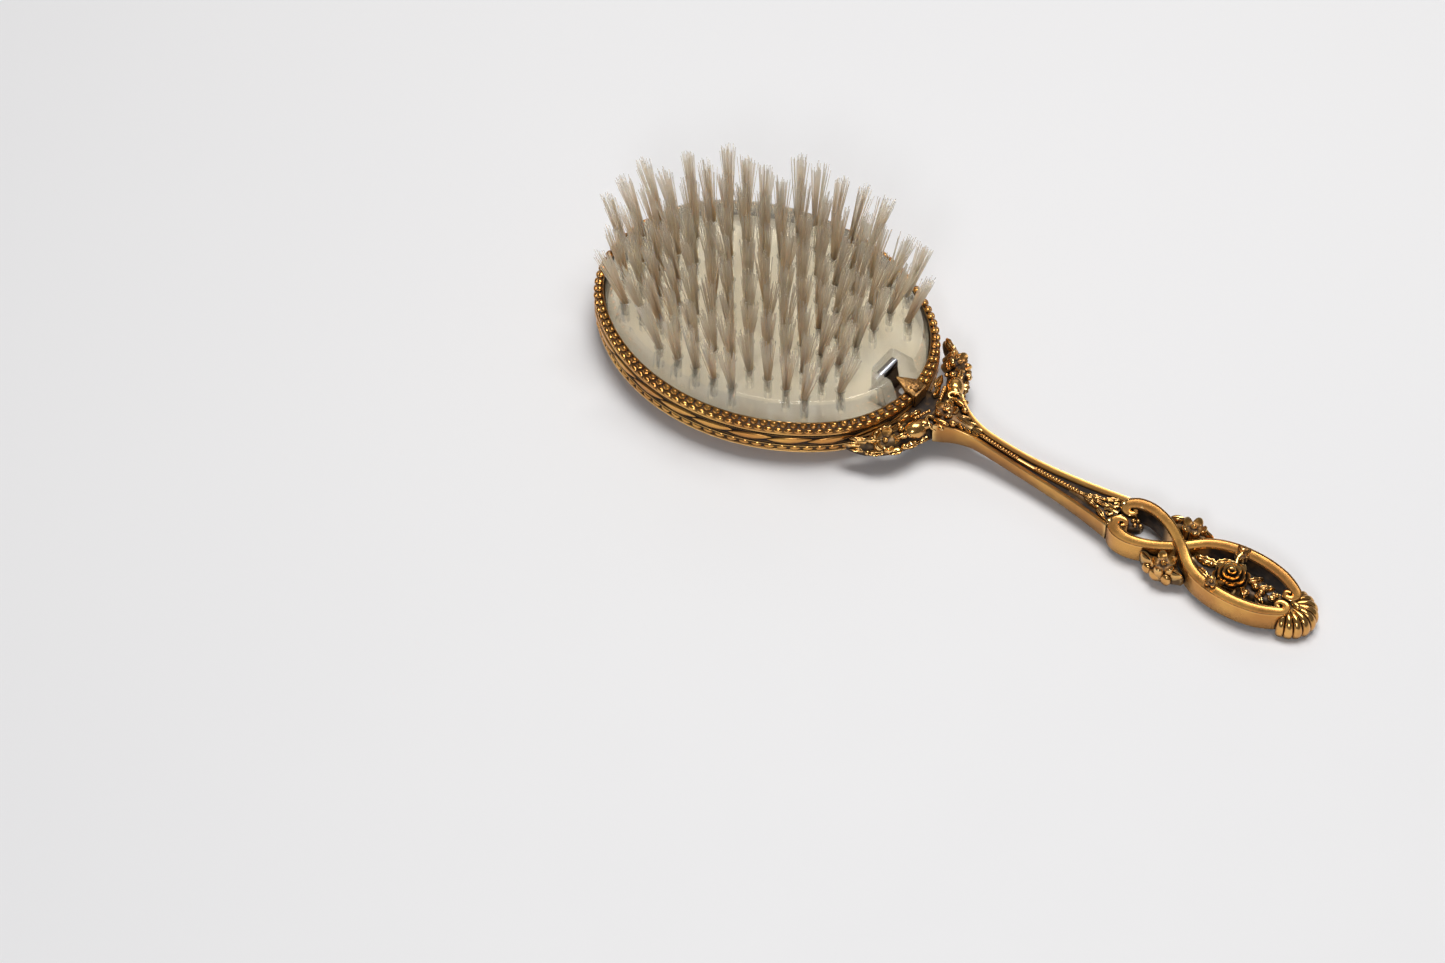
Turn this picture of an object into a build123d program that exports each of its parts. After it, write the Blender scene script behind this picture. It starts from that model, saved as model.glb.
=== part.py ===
from build123d import *
import math
import os

# Vanity hairbrush lying on its back. +X runs down the handle, +Z is up, the way the bristles point.
# The origin is the middle of the flat on the back plate, under the centre of the oval head.

# Rim band: a strip bent to an oval ring of C-shaped section. "Out" is measured from the oval mouth.
mouth_half_length = 47.7
mouth_half_width = 37.5
mouth_end_radius = 0.84 * mouth_half_width   # 31.5
rim_top = 13.0
rim_bottom = 3.6
rim_land = 2.1          # how far the top and bottom flanges reach out
rim_bulge = 2.9         # how far the side wall bulges out at mid height
rim_shoulder = 2.4      # height of the sloping shoulders above and below the side's flat
rim_return = 0.6        # where the bottom flange starts
rim_sheet = 0.7
rim_seam = 0.3          # gap between the strip's two ends, at the handle end

# Back plate, seat plate and liner, stacked inside the rim
back_sheet = 0.7
back_bend_width = 24.0  # from the dish's edge in to its flat middle
back_bands = 2          # straight bands that make the bend
back_flange_out = 1.2
back_edge_gap = 0.3     # between the dome's edge and the rim's bottom flange
seat_sheet = 0.7
seat_out = 1.3
liner_thickness = 0.4
liner_out = -0.8
insert_lift_gap = 0.2   # between the liner and the brush base

# Brush insert
base_top = 17.8
base_waist = 13.0       # the sides slope in above this height
base_draft = 20.0
base_edge_bevel = 0.5
base_gap = 0.45         # between the brush base and the rim's mouth
notch_wall = 38.1       # distance of the notch's back wall from the head's centre
notch_half_width = 5.0
notch_corner = 1.0

# Tufts
tuft_hole_radius = 1.15
tuft_hole_depth = 7.0
tuft_root_radius = 1.08
tuft_tip_radius = 2.1
tuft_tip_height = 37.5
tuft_pitch_along = 6.0
tuft_pitch_across = 7.9
tuft_rows = 9
tuft_sides = 6
tuft_edge_margin = 3.4
tuft_notch_margin = 3.0
tuft_splay = 0.08       # how far a tip leans outwards, as a share of its distance from the centre
anchor_height = 1.6
anchor_thickness = 0.3

# Spring catch
catch_width = 9.2
catch_sheet = 0.5
catch_bend = 41.3       # distance of the leaf's bend from the head's centre
catch_top = 14.6
catch_hem_height = 1.4
catch_hem_depth = 1.9
catch_wall_gap = 0.3
catch_bend_gap = 0.15
catch_foot_length = 5.2
rivet_radius = 0.7
rivet_head_radius = 1.3
rivet_head_height = 0.45
rivet_spacing = 5.0

# Joint tab folded over the rim's seam
tab_sheet = 0.7
tab_half_width = 2.7
tab_reach = 4.4         # from the mouth's edge in to the tab's apex
tab_low = 10.0

# Handle. Its yoke is set out around the mouth's end arc, its openwork from the collar.
yoke_top = 12.4
yoke_bottom = 4.8
yoke_gap = 0.05         # between the arms and the rim
yoke_outer = [(8.5, 13.4), (13.2, 13.1), (19.7, 11.8), (24.5, 10.5), (30.9, 9.8), (36.5, 7.8), (41.4, 4.5)]
yoke_inner = [(41.0, 2.95), (32.2, 4.9), (23.1, 5.7), (13.9, 6.0), (6.0, 6.9), (0.0, 8.5)]
lug_half_width = 6.5
lug_start = 0.3         # the lug's ends, measured from the mouth's end
lug_reach = 9.8
lug_top = 9.6
lug_bottom = 5.2
shank_start = mouth_half_length + 14.3
shank_length = 51.0
shank_slim = 2.35       # half width at the slimmest place
shank_flare = 2.2       # extra half width at the yoke
shank_spread = 3.7      # extra half width at the collar
shank_depth = 4.3
shank_root_depth = 1.9  # extra depth at the yoke
shank_end_depth = 1.7   # extra depth at the collar
shank_fall_start = -4.0     # where the top starts to fall, from the shank's start
shank_fall_run = 35.0
collar = shank_start + shank_length
collar_half_width = 5.9
rail_width = 0.95
groove_depth = 0.8
rib_half_width = 0.95
edge_bevel = 0.3
ribbon_width = 2.7
ribbon_top = 7.2
ribbon_bottom = 1.2
ribbon_bevel = 0.45
ribbon_upper = [(1.2, 2.4), (2.6, 5.2), (7.8, 6.3), (13.6, 4.3)]
ribbon_lower = [(25.2, -5.2), (31.4, -7.6), (38.6, -8.2), (45.8, -7.0), (51.0, -3.9), (51.4, -1.9)]
crossing = 19.5         # where the ribbons cross, from the collar
crossing_lift = 0.5
upper_volute_radius = 2.5
upper_volute_place = (2.9, 2.7)
lower_volute_radius = 2.0
lower_volute_place = (50.2, 2.4)
volute_stand = 0.15     # how far a scroll end stands above its ribbon
volute_dish = 0.7
rose_reach = 35.0       # the rose's middle, from the collar
rose_radius = 4.4
rose_top = 8.4
rose_bar = (16.4, 1.8, 2.4)
rose_bar_turn = 62.0
shell_root = collar + 51.0
shell_reach = 8.0
shell_flutes = 9
shell_fan = 160.0
shell_lip_height = 2.6
shell_back = 2.2        # how far the lip runs back under the ribbons
flute_root_radius = 0.5
flute_end_radius = 1.55
flute_sides = 8

# Yoke screws, from inside the rim into the handle's lug
screw_radius = 0.95
screw_hole_radius = 1.0
screw_head_radius = 1.35
screw_head_height = 0.8
screw_height = 7.4
screw_half_spacing = 3.2
screw_reach = 5.0
screw_seat_gap = 0.02   # between the heads and the rim's inner wall, at their outer edges


end_centre = mouth_half_length - mouth_end_radius
end_rise = mouth_half_width - mouth_end_radius
side_centre = (end_centre ** 2 - end_rise ** 2) / (2 * end_rise)
side_radius = mouth_half_width + side_centre
end_half_angle = math.degrees(math.atan2(side_centre, end_centre))
wall_radius = mouth_end_radius + rim_land - rim_sheet
screw_edge = screw_half_spacing + screw_head_radius
screw_seat = end_centre + math.sqrt(wall_radius ** 2 - screw_edge ** 2) - screw_seat_gap


def oval_arcs():
    """The oval's four arcs, as (centre x, centre y, radius, start angle, angle turned)."""
    end_turn = 2 * end_half_angle
    side_turn = 180 - end_turn
    return [
        (end_centre, 0, mouth_end_radius, -end_half_angle, end_turn),
        (0, -side_centre, side_radius, end_half_angle, side_turn),
        (-end_centre, 0, mouth_end_radius, 180 - end_half_angle, end_turn),
        (0, side_centre, side_radius, 180 + end_half_angle, side_turn),
    ]


def oval(out):
    """The face of an oval whose edge lies `out` from the rim's mouth."""
    return make_face([CenterArc((x, y), r + out, start, turn) for x, y, r, start, turn in oval_arcs()])


def oval_slab(out, low, high):
    """A flat oval plate whose edge lies `out` from the rim's mouth."""
    return extrude(Plane.XY.offset(low) * oval(out), high - low)


def box_between(low, high):
    """A box from its lowest corner to its highest."""
    size = [high[i] - low[i] for i in range(3)]
    middle = [(high[i] + low[i]) / 2 for i in range(3)]
    return Pos(*middle) * Box(*size)


def corners(place, radius, sides):
    """The corners of a regular polygon laid on a plane."""
    turns = [2 * math.pi * i / sides for i in range(sides)]
    return [place.from_local_coords((radius * math.cos(t), radius * math.sin(t), 0)) for t in turns]


def stack(rings):
    """A solid with flat faces through rings of corners, closed by its first and last ring."""
    faces = [make_face(Polyline(*ring, close=True)).face() for ring in (rings[0], rings[-1])]
    for lower, upper in zip(rings, rings[1:]):
        for i in range(len(lower)):
            side = (lower[i - 1], lower[i], upper[i], upper[i - 1])
            faces.append(make_face(Polyline(*side, close=True)).face())
    return Solid(Shell(faces))


def around_mouth(outline, arcs=4):
    """Turns a closed outline, drawn as (out, height), around the oval's arcs, the handle end first."""
    ring = None
    for x, y, radius, start, turn in oval_arcs()[:arcs]:
        outward = Vector(math.cos(math.radians(start)), math.sin(math.radians(start)), 0)
        along = outward.cross(Vector(0, 0, 1))
        place = Plane(origin=Vector(x, y, 0) + outward * radius, x_dir=outward, z_dir=along)
        piece = revolve(place * make_face(outline), Axis((x, y, 0), (0, 0, 1)), revolution_arc=turn)
        ring = piece if ring is None else ring + piece
    return ring


def rim_side(out, top, low):
    """The points of the rim's side wall from top to bottom: a shoulder, a flat and a shoulder."""
    land = out - rim_bulge + rim_land
    return [(land, top), (out, top - rim_shoulder), (out, low + rim_shoulder), (land, low)]


def make_rim_band():
    outline = Polyline(
        (0, rim_top),
        *rim_side(rim_bulge, rim_top, rim_bottom),
        (rim_return, rim_bottom),
        (rim_return, rim_bottom + rim_sheet),
        (rim_land - rim_sheet, rim_bottom + rim_sheet),
        (rim_land - rim_sheet, rim_top - rim_sheet),
        (0, rim_top - rim_sheet),
        close=True)
    band = around_mouth(outline)
    seam_end = mouth_half_length + rim_bulge + 1
    seam = box_between((mouth_half_length - 1, -rim_seam / 2, 0), (seam_end, rim_seam / 2, rim_top + 1))
    return band - seam - screw_holes()


def rim_envelope(swell, arcs=4):
    """The space that the rim takes up, and some of the space inside it, swollen on its outer side."""
    inside = -6.0
    side = rim_side(rim_bulge + swell, rim_top + swell, rim_bottom - swell)
    outline = Polyline((inside, rim_top + swell), *side, (inside, rim_bottom - swell), close=True)
    return around_mouth(outline, arcs)


def make_joint_tab():
    """A clip over the seam: down the rim's side, over its top, and in to a point over the notch."""
    wrap = rim_envelope(tab_sheet, 1) - rim_envelope(0, 1)
    inner_edge = mouth_half_length - 0.3
    outer_edge = mouth_half_length + rim_bulge + tab_sheet + 1
    wrap = wrap & box_between(
        (inner_edge, -tab_half_width, tab_low), (outer_edge, tab_half_width, rim_top + 1))
    apex = mouth_half_length - tab_reach
    point = Polyline((inner_edge, -tab_half_width), (apex, 0), (inner_edge, tab_half_width), close=True)
    return wrap + extrude(Plane.XY.offset(rim_top) * make_face(point), tab_sheet)


back_depth = rim_bottom + rim_sheet
back_edge = rim_return - back_edge_gap


def make_back_plate():
    """A shallow pressed dish with a flat middle, its flange lying on the rim's bottom flange."""
    bands = [90 * i / back_bands for i in range(back_bands, -1, -1)]
    under = []
    for turn in bands:
        inward = back_bend_width * (1 - math.sin(math.radians(turn)))
        under.append((back_edge - inward, back_depth * (1 - math.cos(math.radians(turn)))))
    over = [(out, height + back_sheet) for out, height in reversed(under)]
    over[-1] = (back_edge - back_sheet, back_depth)
    flange = [
        (back_edge - back_sheet, back_depth + back_sheet),
        (back_flange_out, back_depth + back_sheet),
        (back_flange_out, back_depth),
    ]
    bend = around_mouth(Polyline(*under, *over, *flange, close=True))
    return bend + oval_slab(back_edge - back_bend_width, 0, back_sheet)


seat_low = back_depth + back_sheet
seat_top = seat_low + seat_sheet
liner_top = seat_top + liner_thickness
base_low = liner_top + insert_lift_gap
foot_top = seat_top + catch_sheet
foot_end = catch_bend + catch_foot_length


def rivet_places():
    along = catch_bend + catch_foot_length * 0.55
    return [(along, -rivet_spacing / 2), (along, rivet_spacing / 2)]


def make_seat_plate():
    plate = oval_slab(seat_out, seat_low, seat_top)
    for x, y in rivet_places():
        plate -= Pos(x, y, seat_low) * Cylinder(rivet_radius, 10)
    return plate


def make_liner_card():
    card = oval_slab(liner_out, seat_top, liner_top)
    window_half = catch_width / 2 + 0.6
    start = notch_wall - 0.5
    return card - box_between((start, -window_half, 0), (mouth_half_length + 5, window_half, rim_top))


def make_catch_foot():
    """The strip that lies on the seat plate, turned up at the bend."""
    half = catch_width / 2
    foot = box_between((catch_bend + catch_sheet / 2, -half, seat_top), (foot_end, half, foot_top))
    turned_up = Pos(catch_bend, 0, seat_top + catch_sheet) * Rot(90, 0, 0)
    turned_up = turned_up * Cylinder(catch_sheet / 2, catch_width)
    foot += turned_up
    foot += box_between((catch_bend, -half, seat_top + catch_sheet / 2), (catch_bend + 1, half, foot_top))
    for x, y in rivet_places():
        foot -= Pos(x, y, seat_top) * Cylinder(rivet_radius, 4)
    return foot


def make_catch_rivets():
    rivets = []
    for x, y in rivet_places():
        shank = Pos(x, y, (seat_low + foot_top) / 2) * Cylinder(rivet_radius - 0.01, foot_top - seat_low)
        head = Pos(x, y, foot_top + rivet_head_height / 2) * Cylinder(rivet_head_radius, rivet_head_height)
        upset = Pos(x, y, seat_low - rivet_head_height / 2) * Cylinder(rivet_head_radius, rivet_head_height)
        rivets.append(shank + head + upset)
    return rivets


def make_catch_leaf():
    """The leaf rises from the bend, leaning back, and ends in a folded hem under the fingertip."""
    low = foot_top + catch_sheet / 2 + catch_bend_gap
    neck = catch_top - catch_hem_height
    back = notch_wall + catch_wall_gap
    front = back + catch_hem_depth
    foot_back = catch_bend - catch_sheet / 2
    outline = [
        Line((foot_back, low), (foot_back + catch_sheet, low)),
        Line((foot_back + catch_sheet, low), (front, neck)),
        Line((front, neck), (front, catch_top - 0.5)),
        ThreePointArc((front, catch_top - 0.5), ((front + back) / 2, catch_top), (back, catch_top - 0.5)),
        Line((back, catch_top - 0.5), (back, neck)),
        Line((back, neck), (front - catch_sheet - 0.1, neck)),
        Line((front - catch_sheet - 0.1, neck), (foot_back, low)),
    ]
    return extrude(Plane.XZ * make_face(outline), catch_width / 2, both=True)


def tuft_places(row):
    """The tufts of one row, as (x, y) on the base's top. Rows run along the brush."""
    middle = (tuft_rows - 1) / 2
    y = (row - middle) * tuft_pitch_across
    half_length = mouth_half_length - base_gap - tuft_edge_margin
    half_width = mouth_half_width - base_gap - tuft_edge_margin
    if abs(y) > half_width:
        y = math.copysign(half_width * 0.985, y)
    reach = half_length * math.sqrt(1 - (y / half_width) ** 2)
    count = int(reach / tuft_pitch_along)
    places = [(i * tuft_pitch_along, y) for i in range(-count, count + 1)]
    clear = notch_wall - tuft_notch_margin
    return [(x, y) for x, y in places if x < clear or abs(y) > notch_half_width + tuft_notch_margin]


def make_brush_base():
    block = oval_slab(-base_gap, base_low, base_waist)
    block += extrude(Plane.XY.offset(base_waist) * oval(-base_gap), base_top - base_waist, taper=base_draft)
    block = chamfer(block.edges().group_by(Axis.Z)[-1], base_edge_bevel)
    notch = box_between(
        (notch_wall, -notch_half_width, 0), (mouth_half_length + 5, notch_half_width, base_top + 1))
    wall_edges = notch.edges().filter_by(Axis.Z).group_by(Axis.X)[0]
    block -= fillet(wall_edges, notch_corner)
    holes = []
    for row in range(tuft_rows):
        for x, y in tuft_places(row):
            mouth = Pos(x, y, base_top) * RegularPolygon(tuft_hole_radius, tuft_sides)
            holes.append(extrude(mouth, -tuft_hole_depth))
    return block - holes


def make_tuft(x, y):
    """A straight root in its hole, then a bundle that opens and leans away from the head's centre."""
    hole_floor = base_top - tuft_hole_depth
    root_low = hole_floor + anchor_height + 0.1
    foot = Plane((x, y, root_low))
    mouth = Plane((x, y, base_top))
    tip = Plane((x * (1 + tuft_splay), y * (1 + tuft_splay), tuft_tip_height))
    return stack([
        corners(foot, tuft_root_radius, tuft_sides),
        corners(mouth, tuft_root_radius, tuft_sides),
        corners(tip, tuft_tip_radius, tuft_sides),
    ])


def make_tuft_anchors():
    """The flat wire staple at the bottom of each hole."""
    floor = base_top - tuft_hole_depth
    half = tuft_hole_radius * 0.9
    anchors = []
    for row in range(tuft_rows):
        for x, y in tuft_places(row):
            low = (x - half, y - anchor_thickness / 2, floor)
            high = (x + half, y + anchor_thickness / 2, floor + anchor_height)
            anchors.append(box_between(low, high))
    return anchors


def screw_holes():
    holes = []
    for side in (-1, 1):
        place = Pos(screw_seat + screw_reach / 2, side * screw_half_spacing, screw_height)
        holes.append(place * Rot(0, 90, 0) * Cylinder(screw_hole_radius, screw_reach + 0.4))
    return holes


def make_yoke_screws():
    screws = []
    for side in (-1, 1):
        y = side * screw_half_spacing
        shank = Pos(screw_seat + screw_reach / 2, y, screw_height) * Rot(0, 90, 0)
        head = Pos(screw_seat - screw_head_height / 2, y, screw_height) * Rot(0, 90, 0)
        screw = shank * Cylinder(screw_radius, screw_reach)
        screw += head * Cylinder(screw_head_radius, screw_head_height)
        screws.append(screw)
    return screws


def around_end(angle, out):
    """A point beyond the mouth's end arc."""
    radius = mouth_end_radius + out
    return (end_centre + radius * math.cos(math.radians(angle)), radius * math.sin(math.radians(angle)))


def make_yoke():
    """A crescent that stands off from the rim and meets it at its two tips and at the central lug."""
    outer = [around_end(angle, out) for angle, out in yoke_outer]
    inner = [around_end(angle, out) for angle, out in yoke_inner]
    root_end = shank_start + 10.0
    root_half = shank_slim + 0.25
    outline = [
        Line(inner[-1], (root_end, 0)),
        Line((root_end, 0), (root_end, root_half)),
        Spline((root_end, root_half), (shank_start + 4.8, 3.4), (shank_start + 2.4, 4.9), outer[0]),
        Spline(*outer),
        Line(outer[-1], inner[0]),
        Spline(*inner),
    ]
    half = make_face(outline)
    height = yoke_top - yoke_bottom
    crescent = extrude(Plane.XY.offset(yoke_bottom) * half, height)
    crescent += mirror(crescent, Plane.XZ)
    slope_start = shank_start - 2.0
    slope_end = shank_start + 11.0
    slope = Polyline(
        (slope_start, 20), (slope_start, yoke_top),
        (slope_end, shank_top(slope_end)), (slope_end, 20), close=True)
    crescent -= extrude(Plane.XZ * make_face(slope), 20, both=True)
    lug = box_between(
        (mouth_half_length + lug_start, -lug_half_width, lug_bottom),
        (mouth_half_length + lug_reach, lug_half_width, lug_top))
    return crescent + lug - rim_envelope(yoke_gap) - screw_holes()


def shank_top(x):
    """The shank's upper edge falls from the yoke to the flat openwork in a smooth S."""
    t = min(max((x - shank_start - shank_fall_start) / shank_fall_run, 0), 1)
    return yoke_top + (ribbon_top - yoke_top) * (1 - (1 - t) ** 2.2)


def shank_thickness(x):
    """Deep at the yoke, slim in the middle and deep again at the collar."""
    t = (x - shank_start) / shank_length
    return shank_depth + shank_end_depth * t ** 3 + shank_root_depth * (1 - t) ** 5


def shank_half_width(x):
    """Narrowest a fifth of the way down, then widening to the collar."""
    t = (x - shank_start) / shank_length
    return shank_slim + shank_spread * t ** 2.6 + shank_flare * (1 - t) ** 7


def shank_section(x):
    """Side rails, two grooves and a centre rib, as a closed outline across the shank."""
    half = shank_half_width(x)
    top = shank_top(x)
    low = top - shank_thickness(x)
    rail = half - rail_width
    right = [
        (half - 0.8, low),
        (half, low + 1.2),
        (half, top - edge_bevel),
        (half - edge_bevel, top),
        (rail, top),
        (rail - 0.15, top - groove_depth),
        (rib_half_width, top - groove_depth),
        (rib_half_width - 0.25, top - 0.1),
    ]
    left = [(-y, z) for y, z in reversed(right)]
    station = Plane(origin=(x, 0, 0), x_dir=(0, 1, 0), z_dir=(1, 0, 0))
    return station * make_face(Polyline(*right, *left, close=True))


def make_shank():
    stations = 9
    overlap = 0.4
    step = (shank_length + overlap) / (stations - 1)
    return loft([shank_section(shank_start + i * step) for i in range(stations)])


def ribbon_path(side, lift):
    """One ribbon's middle line: out around the small loop, over the axis and around the large loop."""
    middle = (ribbon_top + ribbon_bottom) / 2
    points = [(x, y, 0) for x, y in ribbon_upper[:-1]]
    points.append((*ribbon_upper[-1], 0.3 * lift))
    points.append((crossing, -0.1, lift))
    points.append((*ribbon_lower[0], 0.3 * lift))
    points += [(x, y, 0) for x, y in ribbon_lower[1:]]
    return Spline(*[(collar + x, side * y, middle + z) for x, y, z in points])


def make_ribbon(side, lift):
    """A flat ribbon on edge, with bevelled top edges."""
    path = ribbon_path(side, lift)
    half = ribbon_width / 2
    tall = (ribbon_top - ribbon_bottom) / 2
    section = make_face(Polyline(
        (-half, -tall), (half, -tall), (half, tall - ribbon_bevel), (half - ribbon_bevel, tall),
        (ribbon_bevel - half, tall), (-half, tall - ribbon_bevel), close=True))
    along = path % 0
    start = Plane(origin=path @ 0, x_dir=Vector(0, 0, 1).cross(along), z_dir=along)
    return sweep(start * section, path=path)


def make_volute(x, y, radius):
    """A scroll end: a short drum with a dished top and a small eye."""
    top = ribbon_top + volute_stand
    low = ribbon_bottom + volute_stand
    drum = Pos(x, y, (top + low) / 2) * Cylinder(radius, top - low)
    drum -= Pos(x, y, top - volute_dish / 2) * Cone(0.3 * radius, 0.8 * radius, volute_dish)
    return drum + Pos(x, y, top - volute_dish / 2) * Cone(0.32 * radius, 0.2 * radius, volute_dish)


def make_rose():
    """The core of the rose in the large loop, on a leaf-shaped bar that joins both ribbons."""
    x = collar + rose_reach
    low = ribbon_bottom + 0.8
    core_top = ribbon_top - 1.2
    core = Pos(x, 0, (low + core_top) / 2) * Cylinder(rose_radius, core_top - low)
    dome_radius = rose_radius * 0.9
    crown = Pos(x, 0, rose_top - dome_radius) * Rot(90, 0, 0) * Sphere(dome_radius)
    crown = crown & box_between((x - 9, -9, low + 0.4), (x + 9, 9, rose_top + 1))
    bar = Pos(x, 0, ribbon_top - rose_bar[2]) * Rot(0, 0, rose_bar_turn) * Box(*rose_bar)
    return core + crown + bar


def make_flute(turn):
    """One flute of the shell: slim at the root, widest near the edge and rounded over at its end."""
    reach = shell_reach - 0.2 + 1.2 * math.cos(math.radians(turn))
    across = Vector(math.cos(math.radians(turn)), math.sin(math.radians(turn)), 0)
    start = Vector(shell_root, 0, ribbon_top - 1.2)
    widest = across * (reach - flute_end_radius) + Vector(shell_root, 0, shell_lip_height + 0.3)
    run = widest - start
    stations = [
        (0, flute_root_radius), (run.length, flute_end_radius), (run.length + 1.1, 0.72 * flute_end_radius)]
    place = Plane(origin=start, z_dir=run)
    return stack([corners(place.offset(far), radius, flute_sides) for far, radius in stations])


def make_shell():
    """A fan of tapering flutes on a scalloped lip."""
    shell = Pos(shell_root, 0, shell_lip_height / 2) * Cylinder(shell_reach, shell_lip_height)
    shell = shell & box_between((shell_root - shell_back, -20, 0), (shell_root + 20, 20, 10))
    for i in range(shell_flutes):
        shell += make_flute(shell_fan * (i / (shell_flutes - 1) - 0.5))
    return shell & box_between((shell_root - 20, -30, 0), (shell_root + 20, 30, 20))


def make_handle():
    parts = [
        make_shank(),
        make_ribbon(1, crossing_lift),
        make_ribbon(-1, -crossing_lift),
        make_rose(),
        make_shell(),
    ]
    for side in (-1, 1):
        x, y = upper_volute_place
        parts.append(make_volute(collar + x, side * y, upper_volute_radius))
        x, y = lower_volute_place
        parts.append(make_volute(collar + x, side * y, lower_volute_radius))
    collar_block = box_between(
        (collar - 0.6, -collar_half_width, ribbon_bottom + 0.4),
        (collar + 1.2, collar_half_width, ribbon_top - 0.5))
    handle = make_yoke() + collar_block
    for part in parts:
        handle += part
    return handle


nodes = {
    "handle": make_handle(),
    "rim_band": make_rim_band(),
    "joint_tab": make_joint_tab(),
    "back_plate": make_back_plate(),
    "seat_plate": make_seat_plate(),
    "liner_card": make_liner_card(),
    "yoke_screws": make_yoke_screws(),
    "catch_foot": make_catch_foot(),
    "catch_rivets": make_catch_rivets(),
    "catch_leaf": make_catch_leaf(),
    "brush_base": make_brush_base(),
    "tuft_anchors": make_tuft_anchors(),
}
for row in range(tuft_rows):
    nodes["tuft_row_" + str(row + 1)] = [make_tuft(x, y) for x, y in tuft_places(row)]

os.makedirs("parts", exist_ok=True)
for name, shape in nodes.items():
    solids = shape if isinstance(shape, list) else shape.solids()
    print(name, len(solids))
    export_step(Compound(children=list(solids)) if len(solids) > 1 else solids[0], "parts/" + name + ".step")
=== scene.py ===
import math
import random

import bpy
from mathutils import Matrix, Vector


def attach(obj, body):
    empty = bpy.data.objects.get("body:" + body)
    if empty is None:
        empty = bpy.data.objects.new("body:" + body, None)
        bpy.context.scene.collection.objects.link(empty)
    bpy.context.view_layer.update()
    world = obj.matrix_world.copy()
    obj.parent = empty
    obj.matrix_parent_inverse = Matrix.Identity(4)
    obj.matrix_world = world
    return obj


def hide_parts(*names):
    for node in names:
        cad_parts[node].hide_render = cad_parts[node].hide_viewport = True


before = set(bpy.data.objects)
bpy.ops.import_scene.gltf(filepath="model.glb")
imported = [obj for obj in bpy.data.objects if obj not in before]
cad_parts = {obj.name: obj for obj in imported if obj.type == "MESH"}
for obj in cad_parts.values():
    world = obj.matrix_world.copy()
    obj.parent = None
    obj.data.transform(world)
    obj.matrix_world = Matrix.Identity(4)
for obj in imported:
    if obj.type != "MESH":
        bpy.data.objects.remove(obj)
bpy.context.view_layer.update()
mm = 0.001


# selecting, joining and finishing

def pick(*pieces):
    bpy.ops.object.select_all(action="DESELECT")
    for piece in pieces:
        piece.select_set(True)
    bpy.context.view_layer.objects.active = pieces[-1]


def join(pieces, name):
    pick(*pieces)
    if len(pieces) > 1:
        bpy.ops.object.join()
    whole = bpy.context.view_layer.objects.active
    whole.name = name
    whole.data.name = name
    return whole


def modify(piece, kind, **settings):
    modifier = piece.modifiers.new(kind, kind)
    for key, value in settings.items():
        setattr(modifier, key, value)
    pick(piece)
    bpy.ops.object.modifier_apply(modifier=modifier.name)


def smooth(piece, angle):
    pick(piece)
    bpy.ops.object.shade_smooth_by_angle(angle=math.radians(angle))


def dress(piece, body, slotName, material, *replaced):
    piece.data.materials.clear()
    piece.data.materials.append(material)
    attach(piece, body)
    if replaced:
        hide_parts(*replaced)


def gather(parts, name, angle, *dressing):
    whole = join(parts, name)
    smooth(whole, angle)
    dress(whole, *dressing)


# master shapes, made once and copied

bpy.ops.object.select_all(action="DESELECT")


def paintPatinaAndShade(mesh, shades):  # how dark the metal is at each point, from patina and painted shade
    layer = mesh.color_attributes.new("patinaAndShade", "FLOAT_COLOR", "POINT")
    for item, value in zip(layer.data, shades):
        item.color = (value, value, value, 1)


def master(name):
    piece = bpy.context.object
    piece.name = name
    paintPatinaAndShade(piece.data, [0.0] * len(piece.data.vertices))
    bpy.ops.object.transform_apply(location=True, rotation=True, scale=True)
    piece.select_set(False)
    return piece


bpy.ops.mesh.primitive_uv_sphere_add(segments=16, ring_count=10, radius=1)
ballMaster = master("ballMaster")
bpy.ops.mesh.primitive_torus_add(major_segments=14, minor_segments=6, major_radius=1, minor_radius=0.22)
ringMaster = master("ringMaster")
masters = [ballMaster, ringMaster]


def twin(source):
    piece = source.copy()
    piece.data = source.data.copy()
    bpy.context.collection.objects.link(piece)
    return piece


def copyOf(source, matrix):
    piece = twin(source)
    piece.data.transform(matrix)
    if matrix.determinant() < 0:
        piece.data.flip_normals()
    return piece


def placing(x, y, z, size, turn=0, pitch=0, roll=0):  # millimetres and degrees
    turned = Matrix.Rotation(math.radians(turn), 4, "Z") @ Matrix.Rotation(math.radians(pitch), 4, "Y")
    turned = turned @ Matrix.Rotation(math.radians(roll), 4, "X")
    scaled = Matrix.Diagonal((size[0] * mm, size[1] * mm, size[2] * mm, 1))
    return Matrix.Translation((x * mm, y * mm, z * mm)) @ turned @ scaled


def ball(x, y, z, size, **angles):
    size = size if isinstance(size, tuple) else (size, size, size)
    return copyOf(ballMaster, placing(x, y, z, size, **angles))


def meshOf(name, points, faces):
    mesh = bpy.data.meshes.new(name)
    mesh.from_pydata(points, [], faces)
    piece = bpy.data.objects.new(name, mesh)
    bpy.context.collection.objects.link(piece)
    return piece


def loft(name, rings, closedLoop=False):  # skins rings of points: x, y, z in millimetres, then patina and painted shade
    count = len(rings[0])
    points = [point for ring in rings for point in ring]
    faces = []
    for i in range(len(rings) if closedLoop else len(rings) - 1):
        here = i * count
        there = ((i + 1) % len(rings)) * count
        for j in range(count):
            k = (j + 1) % count
            faces.append((here + j, here + k, there + k, there + j))
    if not closedLoop:
        faces.append(tuple(reversed(range(count))))
        faces.append(tuple(range(len(points) - count, len(points))))
    piece = meshOf(name, [Vector(point[:3]) * mm for point in points], faces)
    paintPatinaAndShade(piece.data, [point[3] if len(point) > 3 else 0.0 for point in points])
    pick(piece)
    bpy.ops.object.mode_set(mode="EDIT")
    bpy.ops.mesh.select_all(action="SELECT")
    bpy.ops.mesh.normals_make_consistent(inside=False)
    bpy.ops.object.mode_set(mode="OBJECT")
    return piece


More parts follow.
